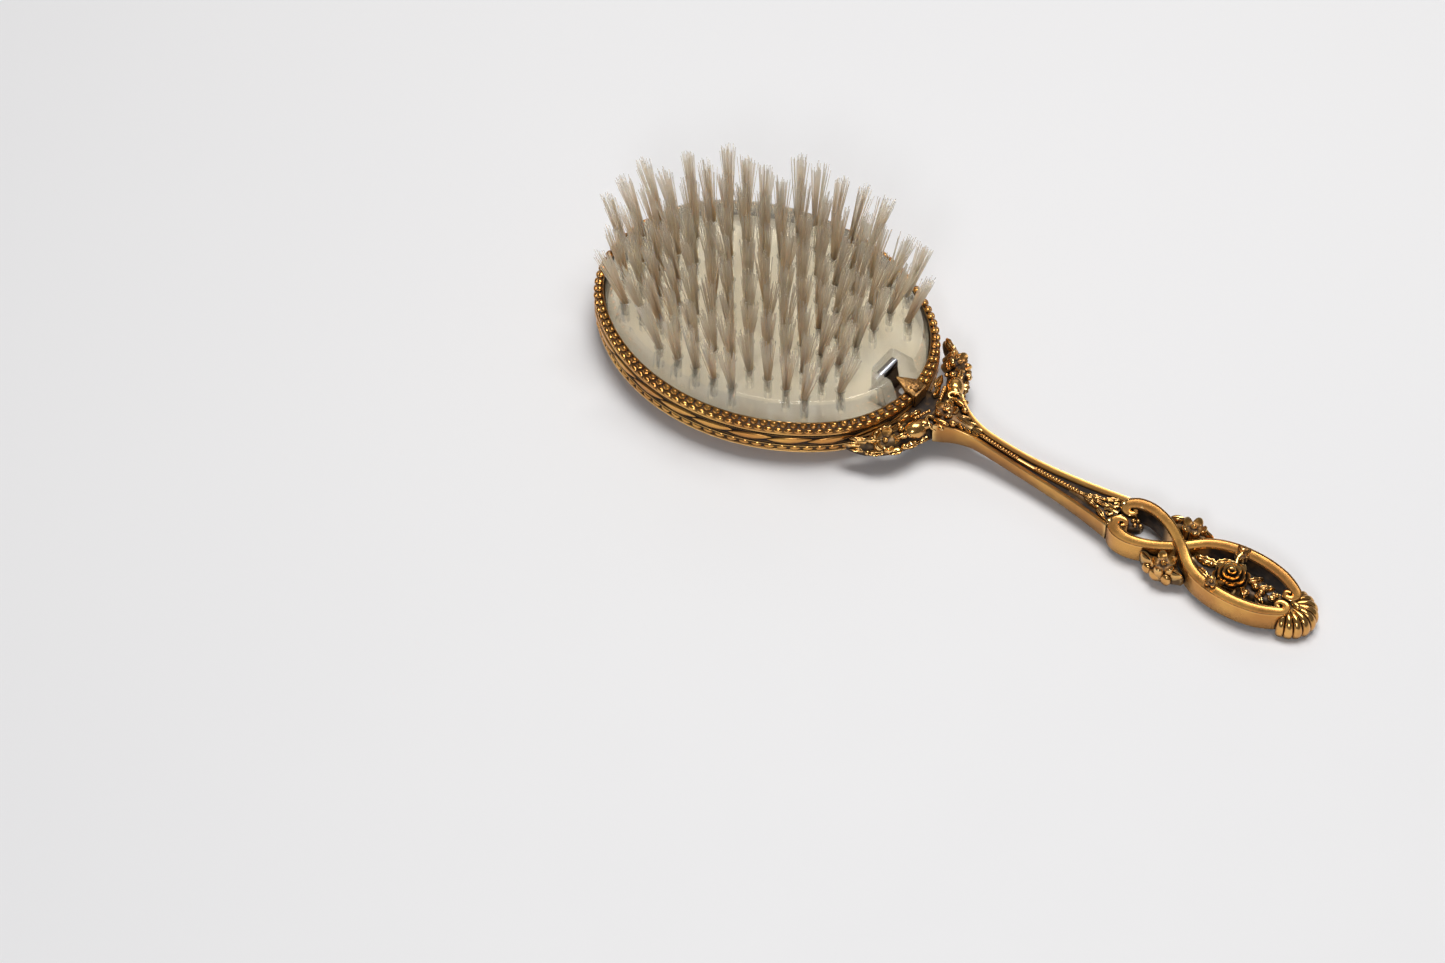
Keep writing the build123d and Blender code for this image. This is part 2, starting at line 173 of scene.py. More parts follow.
def eased(p, q, r, s, t):  # the value a share t of the way from q to r
    return 0.5 * (2 * q + (r - p) * t + (2 * p - 5 * q + 4 * r - s) * t ** 2
                  + (3 * q - p - 3 * r + s) * t ** 3)


def curveThrough(points, steps):  # a smooth line through given points
    line = []
    ends = [points[0]] + list(points) + [points[-1]]
    for spots in zip(ends, ends[1:], ends[2:], ends[3:]):
        for i in range(steps):
            line.append(tuple(eased(*values, i / steps) for values in zip(*spots)))
    line.append(tuple(points[-1]))
    return line


def heading(line, i, axes):  # which way a line runs at one of its points
    ahead = Vector(line[min(i + 1, len(line) - 1)][:axes])
    return (ahead - Vector(line[max(i - 1, 0)][:axes])).normalized()


def turns(count):  # equal turns of a full circle
    return [2 * math.pi * j / count for j in range(count)]


def wire(points):  # a tapering round wire; each point is x, y, z, radius
    line = curveThrough(points, 6)
    rings = []
    for i, (x, y, z, radius) in enumerate(line):
        along = heading(line, i, 3)
        side = along.cross(Vector((0, 0, 1))).normalized()
        up = side.cross(along)
        rings.append([Vector((x, y, z)) + (side * math.cos(angle) + up * math.sin(angle)) * radius
                      for angle in turns(8)])
    return loft("wire", rings)


# materials

class Signal:  # one value of a material, for sums with other values
    def __init__(self, paint, socket):
        self.paint = paint
        self.socket = socket

    def math(self, operation, first, second):
        return self.paint.add("Math", {"operation": operation}, {0: first, 1: second})

    def __add__(self, other):
        return self.math("ADD", self, other)

    __radd__ = __add__

    def __sub__(self, other):
        return self.math("SUBTRACT", self, other)

    def __rsub__(self, other):
        return self.math("SUBTRACT", other, self)

    def __mul__(self, other):
        return self.math("MULTIPLY", self, other)

    __rmul__ = __mul__

    def clamped(self):
        return self.paint.add("Clamp", {}, {"Value": self})

    def step(self, low, high):  # 0 below low, 1 above high
        return self.paint.add("MapRange", {"interpolation_type": "SMOOTHSTEP"},
                              {"Value": self, "From Min": low, "From Max": high})


class Paint:
    def __init__(self, name):
        self.material = bpy.data.materials.new(name)
        self.material.use_nodes = True
        self.tree = self.material.node_tree
        self.shader = self.tree.nodes["Principled BSDF"]
        self.place = self.add("TexCoord", output="Object")

    def add(self, kind, settings=None, inputs=None, output=0):
        node = self.tree.nodes.new("ShaderNode" + kind)
        for key, value in (settings or {}).items():
            setattr(node, key, value)
        for key, value in (inputs or {}).items():
            self.feed(node.inputs[key], value)
        return Signal(self, node.outputs[output])

    def feed(self, socket, value):
        if isinstance(value, Signal):
            self.tree.links.new(value.socket, socket)
        else:
            socket.default_value = value

    def set(self, **values):
        for key, value in values.items():
            self.feed(self.shader.inputs[key.replace("_", " ")], value)

    def noise(self, scale, detail=2, at=None):
        return self.add("TexNoise", {}, {"Vector": at or self.place, "Scale": scale, "Detail": detail})

    def mix(self, factor, first, second):  # inputs 6 and 7 and output 2 are the colour ones
        return self.add("Mix", {"data_type": "RGBA"}, {0: factor, 6: first, 7: second}, output=2)

    def axis(self, letter):
        return self.add("SeparateXYZ", {}, {"Vector": self.place}, output=letter)

    def stretched(self, x, y, z):
        return self.add("Mapping", {}, {"Vector": self.place, "Scale": (x, y, z)})

    def shut(self, distance):  # 0 in a crevice, 1 in the open
        return self.add("AmbientOcclusion", {"samples": 8}, {"Distance": distance * mm}, output="AO")

    def worn(self, low, high):  # 1 along sharp edges
        return self.add("NewGeometry", output="Pointiness").step(low, high)

    def bump(self, height, strength, distance):
        normal = self.add("Bump", {}, {"Height": height, "Strength": strength, "Distance": distance * mm})
        self.set(Normal=normal)


giltLook = {
    "gold": (0.8, 0.41, 0.1, 1), "pale": (0.97, 0.66, 0.28, 1),
    "copper": (0.58, 0.25, 0.06, 1), "dark": (0.016, 0.008, 0.004, 1),
}


def giltPaint(name, crevice, polish, grain, brushed=False):  # gold plate, dark with patina where a cloth misses and with painted shade in crevices and on marked walls
    paint = Paint(name)
    shut = paint.shut(crevice)
    worn = paint.worn(0.51, 0.62)
    drawn = paint.add("VertexColor", {"layer_name": "patinaAndShade"}, output="Color")
    blotch = paint.noise(420, 3)
    cloudy = paint.noise(90, 2)
    # crevices found by occlusion, and the marked layer, are painted darker as patina and painted shade
    lit = shut + blotch * 0.24 - 0.12
    dirtAndPaintedShade = 1 - lit.step(0.4, 0.8)
    dirtAndPaintedShade = (dirtAndPaintedShade + drawn * (blotch * 0.5 + 0.75) - worn * 0.35).clamped()
    gold = paint.mix(cloudy.step(0.35, 0.7), giltLook["copper"], giltLook["gold"])
    gold = paint.mix(worn * 0.85 + 0.08, gold, giltLook["pale"])
    paint.set(Base_Color=paint.mix(dirtAndPaintedShade, gold, giltLook["dark"]))
    paint.set(Metallic=1 - dirtAndPaintedShade * 0.6)
    paint.set(Roughness=(polish + blotch * 0.1 - worn * 0.08 + dirtAndPaintedShade * 0.3).clamped())
    fine = paint.noise(2600, 2) * 0.6 + paint.noise(600, 2)
    if brushed:
        fine = fine + paint.noise(900, 2, at=paint.stretched(0.06, 1, 1)) * 1.4
    paint.bump(fine, grain, 0.05)
    return paint.material


acrylicLook = {
    "warm": (0.96, 0.92, 0.8, 1), "clear": (1.0, 0.98, 0.91, 1),
    "through": 0.88, "alpha": 0.6, "coat": 0.8,
}


def acrylicPaint():
    paint = Paint("clearAcrylic")
    haze = paint.noise(60, 2)
    scuffs = paint.noise(900, 3)
    paint.set(Base_Color=paint.mix(haze, acrylicLook["warm"], acrylicLook["clear"]))
    paint.set(Roughness=haze * 0.06 + scuffs.step(0.62, 0.75) * 0.08 + 0.02)
    paint.set(IOR=1.3, Transmission_Weight=acrylicLook["through"], Alpha=acrylicLook["alpha"])
    paint.set(Coat_Weight=acrylicLook["coat"], Coat_Roughness=0.04, Coat_IOR=1.6)
    paint.bump(paint.noise(140, 2), 0.08, 0.3)
    return paint.material


nylonLook = {
    "tan": (1.0, 0.66, 0.33, 1), "straw": (1.0, 0.85, 0.58, 1),
    "aged": (0.92, 0.62, 0.34, 1), "tip": (1.0, 0.9, 0.76, 1), "alpha": 0.58, "thinning": 0.2,
    "run": (0.017, 0.036),  # metres, from the mouths of the holes to the tips
}


def nylonPaint():  # paler towards the tips as painted light, and clearer there
    paint = Paint("tanNylon")
    shade = paint.noise(420, 1, at=paint.stretched(1, 1, 0.06))
    aged = paint.noise(70, 2)
    height = paint.axis("Z").step(*nylonLook["run"])
    colour = paint.mix(shade.step(0.3, 0.7), nylonLook["tan"], nylonLook["straw"])
    colour = paint.mix(aged.step(0.45, 0.8) * 0.4, colour, nylonLook["aged"])
    # the tips are painted paler, as light coming through them
    paint.set(Base_Color=paint.mix(height * 0.6, colour, nylonLook["tip"]))
    paint.set(Roughness=aged * 0.15 + 0.28)
    paint.set(IOR=1.3, Transmission_Weight=0.35)
    paint.set(Subsurface_Weight=0.9, Subsurface_Radius=(1.0, 0.85, 0.6), Subsurface_Scale=0.002)
    paint.set(Alpha=nylonLook["alpha"] - height * nylonLook["thinning"])
    paint.bump(paint.noise(3000, 1, at=paint.stretched(1, 1, 0.05)), 0.1, 0.02)
    return paint.material


def sheetPaint(name, colour, other, rough, grainScale, grain):  # plain rolled metal
    paint = Paint(name)
    cloud = paint.noise(110, 3)
    fine = paint.noise(grainScale, 3, at=paint.stretched(1, 0.12, 1))
    paint.set(Base_Color=paint.mix(cloud.step(0.3, 0.75), colour, other))
    paint.set(Roughness=(rough + fine * 0.12 - paint.worn(0.5, 0.6) * 0.06).clamped())
    paint.set(Metallic=1.0)
    paint.bump(fine, grain, 0.05)
    return paint.material


# the brown is a painted shadow in the open hollow under the catch
cardLook = {
    "cream": (0.93, 0.84, 0.66, 1), "white": (0.98, 0.93, 0.8, 1), "paintedShadow": (0.055, 0.03, 0.018, 1),
    "shadowFrom": (0.0372, 0.0385), "shadowHalf": (0.0048, 0.0056),  # metres along and across the brush
}


def cardPaint():  # pale card, with a painted brown shadow where it lies open under the catch
    paint = Paint("paleCard")
    cloud = paint.noise(110, 3)
    fibre = paint.noise(500, 3, at=paint.stretched(1, 0.12, 1))
    across = paint.add("Math", {"operation": "ABSOLUTE"}, {0: paint.axis("Y")})
    shadowed = paint.axis("X").step(*cardLook["shadowFrom"]) * (1 - across.step(*cardLook["shadowHalf"]))
    pale = paint.mix(cloud.step(0.3, 0.75), cardLook["cream"], cardLook["white"])
    paint.set(Base_Color=paint.mix(shadowed, pale, cardLook["paintedShadow"]))
    paint.set(Roughness=fibre * 0.12 + 0.72)
    paint.bump(fibre, 0.3, 0.05)
    return paint.material


granularLook = {
    "gold": (0.44, 0.23, 0.075, 1), "dark": (0.03, 0.014, 0.006, 1), "grains": 2300,
}


def granularPaint():  # sandy gold of the clip over the rim's seam
    paint = Paint("granularGilt")
    grains = paint.add("TexVoronoi", {"feature": "F1"},
                       {"Vector": paint.place, "Scale": granularLook["grains"]}, output="Distance")
    # crevices found by occlusion are painted darker as patina and painted shade; the pits between grains
    # are darker too
    dirtAndPaintedShade = (1 - paint.shut(0.8).step(0.35, 0.85) + grains.step(0.35, 0.75) * 0.55).clamped()
    paint.set(Base_Color=paint.mix(dirtAndPaintedShade, granularLook["gold"], granularLook["dark"]))
    paint.set(Metallic=1 - dirtAndPaintedShade * 0.6)
    paint.set(Roughness=dirtAndPaintedShade * 0.2 + 0.34)
    paint.bump(1 - grains, 0.8, 0.12)
    return paint.material


gilt = giltPaint("giltCasting", 1.1, 0.17, 0.08)
giltSatin = giltPaint("giltSatin", 0.9, 0.28, 0.14, brushed=True)
giltStrip = giltPaint("giltStrip", 0.8, 0.18, 0.1)
giltBack = giltPaint("giltStamping", 0.8, 0.24, 0.1)
granular = granularPaint()
acrylic = acrylicPaint()
nylon = nylonPaint()
card = cardPaint()
chrome = sheetPaint("brightSpring", (0.62, 0.64, 0.7, 1), (0.8, 0.81, 0.86, 1), 0.12, 1800, 0.25)
# the catch leaf and foot are painted dark brown as shade and the dark reflection of the frame's inside
springInPaintedShade = sheetPaint("springInShade", (0.1, 0.065, 0.045, 1), (0.24, 0.17, 0.12, 1), 0.3, 1500, 0.2)
steel = sheetPaint("plainSteel", (0.5, 0.49, 0.47, 1), (0.62, 0.6, 0.57, 1), 0.32, 1500, 0.2)
# the seat plate is painted dark brown as the shade in the hollow under the catch
plateInPaintedShade = sheetPaint("plateInShade", (0.09, 0.055, 0.03, 1), (0.2, 0.13, 0.07, 1), 0.38, 900, 0.2)
anchor = sheetPaint("anchorWire", (0.74, 0.72, 0.66, 1), (0.86, 0.84, 0.8, 1), 0.2, 1500, 0.1)
print("materials done")


# the oval that the rim follows: two end arcs and two side arcs

oval = {"halfLength": 47.7, "halfWidth": 37.5, "endRadius": 31.5}
endCentre = oval["halfLength"] - oval["endRadius"]
endRise = oval["halfWidth"] - oval["endRadius"]
sideCentre = (endCentre ** 2 - endRise ** 2) / (2 * endRise)
sideRadius = oval["halfWidth"] + sideCentre
endTurn = 2 * math.atan2(sideCentre, endCentre)
sideTurn = math.pi - endTurn
arcs = [
    (endCentre, 0, oval["endRadius"], -endTurn / 2, endTurn),
    (0, -sideCentre, sideRadius, endTurn / 2, sideTurn),
    (-endCentre, 0, oval["endRadius"], math.pi - endTurn / 2, endTurn),
    (0, sideCentre, sideRadius, math.pi + endTurn / 2, sideTurn),
]
ovalLength = sum(arc[2] * arc[4] for arc in arcs)


def onOval(distance, out, z):  # distance runs anticlockwise from the handle end
    distance = (distance + arcs[0][2] * arcs[0][4] / 2) % ovalLength
    for x, y, radius, start, turn in arcs:
        if distance <= radius * turn:
            break
        distance -= radius * turn
    angle = start + distance / radius
    return Vector((x + (radius + out) * math.cos(angle), y + (radius + out) * math.sin(angle), z))


def wrapped(source, distance, out, z):  # bends a shape made in millimetres along the oval
    piece = twin(source)
    for vertex in piece.data.vertices:
        along, across, up = vertex.co
        vertex.co = onOval(distance + along, out + across, z + up) * mm
    return piece


# rim

rim = {
    "stations": 260, "beadPitch": 2.6, "footPitch": 3.3, "leafPitch": 10.2, "toothPitch": 0.62,
    "beadHalf": (1.28, 1.05, 0.95), "beadPlace": (1.12, 12.62),  # a place is out from the oval, and height
    "oblongHalf": (1.35, 0.85, 0.72), "oblongPlace": (2.22, 11.5), "oblongLean": -52, "oblongTurn": 25,
    "footHalf": (1.62, 0.95, 0.62), "footPlace": (2.25, 5.15),
    "leafLength": 11.4, "leafWidth": 2.35, "leafClimb": 1.0, "leafEdge": 0.16, "leafCrown": 0.3,
    "leafStations": 14, "leafPlace": (2.38, 8.2),
    "toothHalf": (0.2, 0.26, 0.24), "toothPlaces": ((2.3, 9.62), (2.3, 6.72)),
}
rimOutline = [  # out, height, patina and painted shade in the grooves and on the inner face
    (0.0, 12.05, 1), (0.02, 12.6, 0.3), (0.15, 12.9, 0.0), (0.35, 12.75, 0.4), (0.5, 12.4, 0.9),
    (1.7, 12.3, 0.8), (1.9, 12.2, 0.9), (2.1, 11.8, 0.8), (2.4, 11.0, 0.7), (2.6, 10.6, 0.1),
    (2.62, 10.35, 0.1), (2.35, 10.2, 1), (2.1, 10.1, 1), (2.1, 9.7, 1), (2.4, 9.62, 0.9),
    (2.42, 9.45, 0.8), (2.3, 9.35, 1), (2.28, 8.2, 1), (2.3, 6.9, 1), (2.42, 6.8, 0.8),
    (2.4, 6.65, 0.9), (2.1, 6.55, 1), (2.1, 6.2, 1), (2.4, 6.1, 0.3), (2.45, 5.95, 0.1),
    (2.25, 5.85, 0.9), (2.15, 4.4, 0.9), (2.45, 4.2, 0.1), (2.5, 3.75, 0.1), (2.1, 3.6, 0.3),
    (0.6, 3.6, 0.6), (0.6, 4.3, 1), (1.4, 4.35, 1), (1.4, 12.0, 1),
]


def makeRim():
    rings = []
    for i in range(rim["stations"]):
        distance = ovalLength * i / rim["stations"]
        rings.append([(*onOval(distance, out, z), shade) for out, z, shade in rimOutline])
    band = loft("rimBand", rings, closedLoop=True)
    smooth(band, 50)
    dress(band, "frame", "gilt_strip", giltStrip, "rim_band")


def evenly(pitch):  # distances along the oval, a whole number of times
    count = round(ovalLength / pitch)
    return [ovalLength * (i + 0.5) / count for i in range(count)]


def stud(name, half, lean, turn=0):  # a small faceted bead in millimetres
    bpy.ops.mesh.primitive_ico_sphere_add(subdivisions=1, radius=1)
    shape = master(name)
    shape.data.transform(Matrix.Rotation(math.radians(turn), 4, "Z"))
    modify(shape, "BEVEL", width=0.16, segments=1)
    shape.data.transform(Matrix.Rotation(math.radians(lean), 4, "X") @ Matrix.Diagonal((*half, 1)))
    masters.append(shape)
    return shape


def coarseStud(name, half):  # a four-sided point, for rows of hundreds
    bpy.ops.mesh.primitive_cone_add(
        vertices=4, radius1=1, radius2=0.2, depth=2, rotation=(-math.pi / 2, 0, 0))
    shape = master(name)
    shape.data.transform(Matrix.Diagonal((*half, 1)))
    masters.append(shape)
    return shape


def makeRimBeads():
    bead = stud("beadMaster", rim["beadHalf"], 0)
    oblong = stud("oblongMaster", rim["oblongHalf"], rim["oblongLean"], rim["oblongTurn"])
    foot = stud("footMaster", rim["footHalf"], -90)
    pieces = []
    for distance in evenly(rim["beadPitch"]):
        pieces.append(wrapped(bead, distance, *rim["beadPlace"]))
        pieces.append(wrapped(oblong, distance + rim["beadPitch"] / 2, *rim["oblongPlace"]))
    for distance in evenly(rim["footPitch"]):
        pieces.append(wrapped(foot, distance, *rim["footPlace"]))
    gather(pieces, "rimBeads", 24, "frame", "gilt_strip", giltStrip)


def laurelLeaf():
    rings = []
    for i in range(rim["leafStations"] + 1):
        t = i / rim["leafStations"]
        x = (t - 0.5) * rim["leafLength"]
        half = rim["leafWidth"] / 2 * max(math.sin(math.pi * t) ** 0.75, 0.03)
        rise = (t - 0.5) * rim["leafClimb"]
        tall = rim["leafEdge"] + rim["leafCrown"] * math.sin(math.pi * t)
        ring = [
            (x, -0.3, rise - half), (x, tall * 0.6, rise - half * 0.9), (x, tall, rise - half * 0.5),
            (x, tall * 1.05, rise), (x, tall, rise + half * 0.5), (x, tall * 0.6, rise + half * 0.9),
            (x, -0.3, rise + half)]
        rings.append([(*(Vector(point) / mm), shade)
                      for point, shade in zip(ring, (1, 0.25, 0, 0, 0, 0.25, 1))])
    return loft("leafMaster", rings)


def makeRimLeaves():
    leaf = laurelLeaf()
    tooth = coarseStud("toothMaster", rim["toothHalf"])
    masters.append(leaf)
    pieces = [wrapped(leaf, distance, *rim["leafPlace"]) for distance in evenly(rim["leafPitch"])]
    gather(pieces, "rimLeaves", 60, "frame", "gilt_strip", giltStrip)
    pieces = []
    for distance in evenly(rim["toothPitch"]):
        for place in rim["toothPlaces"]:
            pieces.append(wrapped(tooth, distance, *place))
    teeth = join(pieces, "rimTeeth")
    dress(teeth, "frame", "gilt_strip", giltStrip)


makeRim()
makeRimBeads()
makeRimLeaves()
print("rim done")


# brush base and tufts

base = {
    "top": 17.8, "low": 6.3, "waist": 13.0, "out": -0.45, "topOut": -2.1,
    "chamfer": 0.5, "round": 0.9, "roundSteps": 5, "stations": 160,
    "notchWall": 38.1, "notchHalf": 5.0, "notchMiddle": 13, "notchBlock": 20, "notchRound": 1.0,
    "hole": 1.15, "holeDepth": 7.0, "holeSides": 18, "pitch": (6.0, 7.9),
    "cutterRise": 2,  # how far the cutter of a hole stands above the top
    "lip": 0.12, "lipHeight": 0.55, "lipSunk": 0.05,
}
tuft = {
    "filaments": 40, "radius": 0.135, "endShare": 0.9, "lean": 0.12, "spread": 3.1,
    "spreadRange": (0.7, 1.05), "tip": 36.0, "tipRange": 1.4, "ragged": 3.4, "rootDrop": 4.6,
    "rootShare": 0.35, "rootSpread": 0.95, "stray": 1.1, "wobble": 0.05,
    "fanAlong": (0.75, 1.15), "fanAcross": (0.6, 0.95), "seed": 7,
}
fiveCorners = [math.radians(angle) for angle in (0, 72, 144, 216, 288)]


def tuftPlaces():  # from the staple at the bottom of each hole
    groups = {}
    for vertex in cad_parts["tuft_anchors"].data.vertices:
        spot = vertex.co / mm
        key = (round(spot.y / base["pitch"][1]), round(spot.x / base["pitch"][0]))
        groups.setdefault(key, []).append(spot)
    rows = {}
    for key in sorted(groups):
        spots = groups[key]
        middle = sum(spots, Vector()) / len(spots)
        rows.setdefault(key[0], []).append((middle.x, middle.y))
    return [rows[key] for key in sorted(rows)]


def baseBlock():
    edge = base["round"]
    levels = [(base["low"], base["out"] - base["chamfer"]), (base["low"] + base["chamfer"], base["out"]),
              (base["waist"], base["out"])]
    for i in range(base["roundSteps"] + 1):
        turn = math.radians(90 * i / base["roundSteps"])
        inset = base["topOut"] - edge * (1 - math.cos(turn))
        levels.append((base["top"] - edge + edge * math.sin(turn), inset))
    count = base["stations"]
    return loft("acrylicBase", [[onOval(ovalLength * i / count, out, z) for i in range(count)]
                                for z, out in levels])


def baseCutter():  # the notch for the catch and a hole for every tuft
    size = base["notchBlock"]
    bpy.ops.mesh.primitive_cube_add(size=1)
    notch = master("notch")
    notch.data.transform(placing(base["notchWall"] + size / 2, 0, base["notchMiddle"],
                                 (size, base["notchHalf"] * 2, size)))
    modify(notch, "BEVEL", width=base["notchRound"] * mm, segments=4)
    bpy.ops.mesh.primitive_cylinder_add(
        vertices=base["holeSides"], radius=base["hole"], depth=base["holeDepth"] + base["cutterRise"])
    hole = master("hole")
    masters.append(hole)
    height = base["top"] - base["holeDepth"] / 2 + base["cutterRise"] / 2
    cutters = [copyOf(hole, placing(x, y, height, (1, 1, 1))) for row in tuftPlaces() for x, y in row]
    return join(cutters + [notch], "cutter")


def makeBase():
    block = baseBlock()
    cutter = baseCutter()
    modify(block, "BOOLEAN", object=cutter, operation="DIFFERENCE", solver="EXACT")
    bpy.data.objects.remove(cutter)
    smooth(block, 35)
    dress(block, "insert", "clear_base", acrylic, "brush_base")


def makeLips():  # raised edges of the tuft holes
    size = (base["hole"] + base["lip"], base["hole"] + base["lip"], base["lipHeight"])
    height = base["top"] - base["lipSunk"]
    lips = [copyOf(ringMaster, placing(x, y, height, size)) for row in tuftPlaces() for x, y in row]
    gather(lips, "holeLips", 180, "insert", "clear_base", acrylic)


def makeFilament(dice, x, y, tipHeight, fan, stray):
    angle = dice.uniform(0, 2 * math.pi)
    reach = math.sqrt(dice.random())
    along, across = math.cos(angle), math.sin(angle)
    root = Vector((x, y, base["top"] - tuft["rootDrop"]))
    root.x += along * reach * base["hole"] * tuft["rootShare"]
    root.y += across * reach * base["hole"] * tuft["rootShare"]
    mouth = Vector((x, y, base["top"]))
    mouth.x += along * reach * tuft["rootSpread"]
    mouth.y += across * reach * tuft["rootSpread"]
    top = tipHeight - dice.random() ** 2 * tuft["ragged"]
    tip = Vector((x * (1 + tuft["lean"]) + stray[0], y * (1 + tuft["lean"]) + stray[1], top))
    spread = reach * tuft["spread"] * dice.uniform(*tuft["spreadRange"])
    tip.x += along * spread * fan[0]
    tip.y += across * spread * fan[1]
    wobble = tuft["wobble"]
    aside = Vector((dice.uniform(-wobble, wobble), dice.uniform(-wobble, wobble), 0))
    middle = mouth.lerp(tip, 0.5) + aside
    rings = []
    for spot, share in ((root, tuft["endShare"]), (mouth, 1), (middle, 1), (tip, tuft["endShare"])):
        radius = tuft["radius"] * share
        rings.append([(spot.x + radius * math.cos(corner), spot.y + radius * math.sin(corner), spot.z)
                      for corner in fiveCorners])
    return rings


def addTube(points, faces, rings):  # closed at both ends
    start = len(points)
    sides = len(rings[0])
    points.extend(Vector(point) * mm for ring in rings for point in ring)
    for i in range(len(rings) - 1):
        low = start + i * sides
        for j in range(sides):
            k = (j + 1) % sides
            faces.append((low + j, low + k, low + sides + k, low + sides + j))
    faces.append(tuple(start + j for j in reversed(range(sides))))
    faces.append(tuple(start + (len(rings) - 1) * sides + j for j in range(sides)))


def makeTuftRow(dice, number, row):
    points = []
    faces = []
    for x, y in row:
        tipHeight = tuft["tip"] - dice.uniform(0, tuft["tipRange"])
        fan = (dice.uniform(*tuft["fanAlong"]), dice.uniform(*tuft["fanAcross"]))
        stray = (dice.uniform(-1, 1) * tuft["stray"], dice.uniform(-1, 1) * tuft["stray"])
        for _ in range(tuft["filaments"]):
            addTube(points, faces, makeFilament(dice, x, y, tipHeight, fan, stray))
    piece = meshOf("tuftRow" + str(number), points, faces)
    smooth(piece, 75)
    dress(piece, "insert", "nylon", nylon, "tuft_row_" + str(number))


def makeTufts():
    dice = random.Random(tuft["seed"])
    for number, row in enumerate(tuftPlaces(), 1):
        makeTuftRow(dice, number, row)


makeBase()
makeLips()
makeTufts()
print("brush done")


# handle: shank

shank = {
    "start": 60.0, "collar": 113.6, "stations": 54, "waist": 62.0, "run": 51.0,
    "rail": 1.45, "railLeast": 0.85, "railDrop": 0.46, "groove": 1.25, "rib": 0.55, "ribGap": 0.25,
    "highest": 12.4, "fall": 5.2, "fallStart": 58.0, "fallRun": 35.0,
    "half": 2.35, "halfCollar": 3.7, "halfYoke": 0.7, "halfFlare": 3.9, "halfFlareRun": 13.0,
    "deep": 4.3, "deepCollar": 1.7, "deepYoke": 1.9, "deepFlare": 0.8, "deepFlareRun": 9.0,
}


def shankFlare(x, run):  # 1 at the yoke, 0 past the run
    return max(1 - (x - shank["start"]) / run, 0)


def shankTop(x):
    t = min(max((x - shank["fallStart"]) / shank["fallRun"], 0), 1)
    return shank["highest"] - shank["fall"] * (1 - (1 - t) ** 2.2)


def shankHalf(x):
    t = (x - shank["waist"]) / shank["run"]
    flare = shankFlare(x, shank["halfFlareRun"])
    return (shank["half"] + shank["halfCollar"] * max(t, 0) ** 2.6
            + shank["halfYoke"] * max(1 - t, 0) ** 7 + shank["halfFlare"] * flare ** 2.4)


def shankLow(x):
    t = min(max((x - shank["waist"]) / shank["run"], 0), 1)
    flare = shankFlare(x, shank["deepFlareRun"])
    return shankTop(x) - (shank["deep"] + shank["deepCollar"] * t ** 3
                          + shank["deepYoke"] * (1 - t) ** 5 + shank["deepFlare"] * flare)


def makeShank():
    rings = []
    for i in range(shank["stations"] + 1):
        x = shank["start"] + (shank["collar"] - shank["start"]) * i / shank["stations"]
        half, top, low = shankHalf(x), shankTop(x), shankLow(x)
        rail = max(half - shank["rail"], shank["railLeast"])
        drop = shank["railDrop"] * min((half - rail) / shank["rail"], 1)
        floor = top - shank["groove"]
        rib = min(shank["rib"], rail - shank["ribGap"])
        right = [  # y, z, patina and painted shade; the side wall is painted darker towards its foot as shade
            (half - 1.3, low, 0.6), (half - 0.5, low + 0.25, 0.6), (half - 0.08, low + 0.9, 0.5),
            (half, (low + top) / 2, 0.38), (half, top - 0.55, 0.12), (half - 0.1, top - 0.12, 0.0),
            (half - 0.24, top, 0.0), (half - 0.42, top - 0.06, 0.0), (rail + 0.1, top - drop, 0.0),
            (rail, top - drop - 0.12, 0.4), (rail - 0.08, floor, 1.0), (rib + 0.06, floor, 1.0),
            (rib, top - 0.75, 0.5), (rib * 0.6, top - 0.42, 0.0)]
        left = [(-y, z, shade) for y, z, shade in reversed(right)]
        rings.append([(x, y, z, shade) for y, z, shade in right + [(0, top - 0.34, 0.0)] + left])
    body = loft("shank", rings)
    smooth(body, 40)
    dress(body, "frame", "gilt_casting", giltSatin, "handle")


# handle: interlaced ribbons with scroll ends

ribbon = {"half": 1.5, "top": 7.2, "low": 1.2, "lift": 0.4, "cross": 132.5, "steps": 9}
ribbonRoute = [  # x, y, lift, share of full width
    (116.7, 3.4, 0.1, 0.36), (117.4, 2.3, 0.12, 0.46), (116.3, 1.3, 0.12, 0.6), (114.7, 2.0, 0.08, 0.86),
    (114.6, 4.1, 0, 1.14), (117.0, 5.9, 0, 1.26), (121.2, 6.2, 0, 1.16), (126.6, 4.2, 0.25, 1.06),
    (132.5, -0.1, 1, 1.0), (138.2, -5.0, 0.25, 1.08), (144.4, -7.4, 0, 1.12), (151.6, -8.0, 0, 1.14),
    (158.2, -7.0, 0, 1.12), (162.6, -5.1, 0, 1.02), (164.9, -3.4, 0.03, 0.84), (164.6, -1.5, 0.06, 0.64),
    (162.8, -1.2, 0.08, 0.5), (162.2, -2.5, 0.1, 0.4), (163.3, -3.0, 0.1, 0.32)]
ribbonProfile = [  # across, height below the top or above the foot, patina and painted shade of the outer and the inner wall
    (0.0, "low", 0.0, 0.9, 0.9), (0.72, "low", 0.0, 0.7, 1), (0.92, "low", 0.25, 0.35, 1),
    (1.0, "low", 0.9, 0.2, 1), (1.03, "top", 2.2, 0.12, 1), (1.0, "top", 0.62, 0.08, 0.95),
    (0.99, "top", 0.3, 0.0, 0.3), (0.95, "top", 0.06, 0.0, 0.0), (0.89, "top", 0.0, 0.0, 0.0),
    (0.82, "top", 0.1, 0.06, 0.06), (0.7, "top", 0.26, 0.08, 0.08), (0.35, "top", 0.34, 0.04, 0.04)]


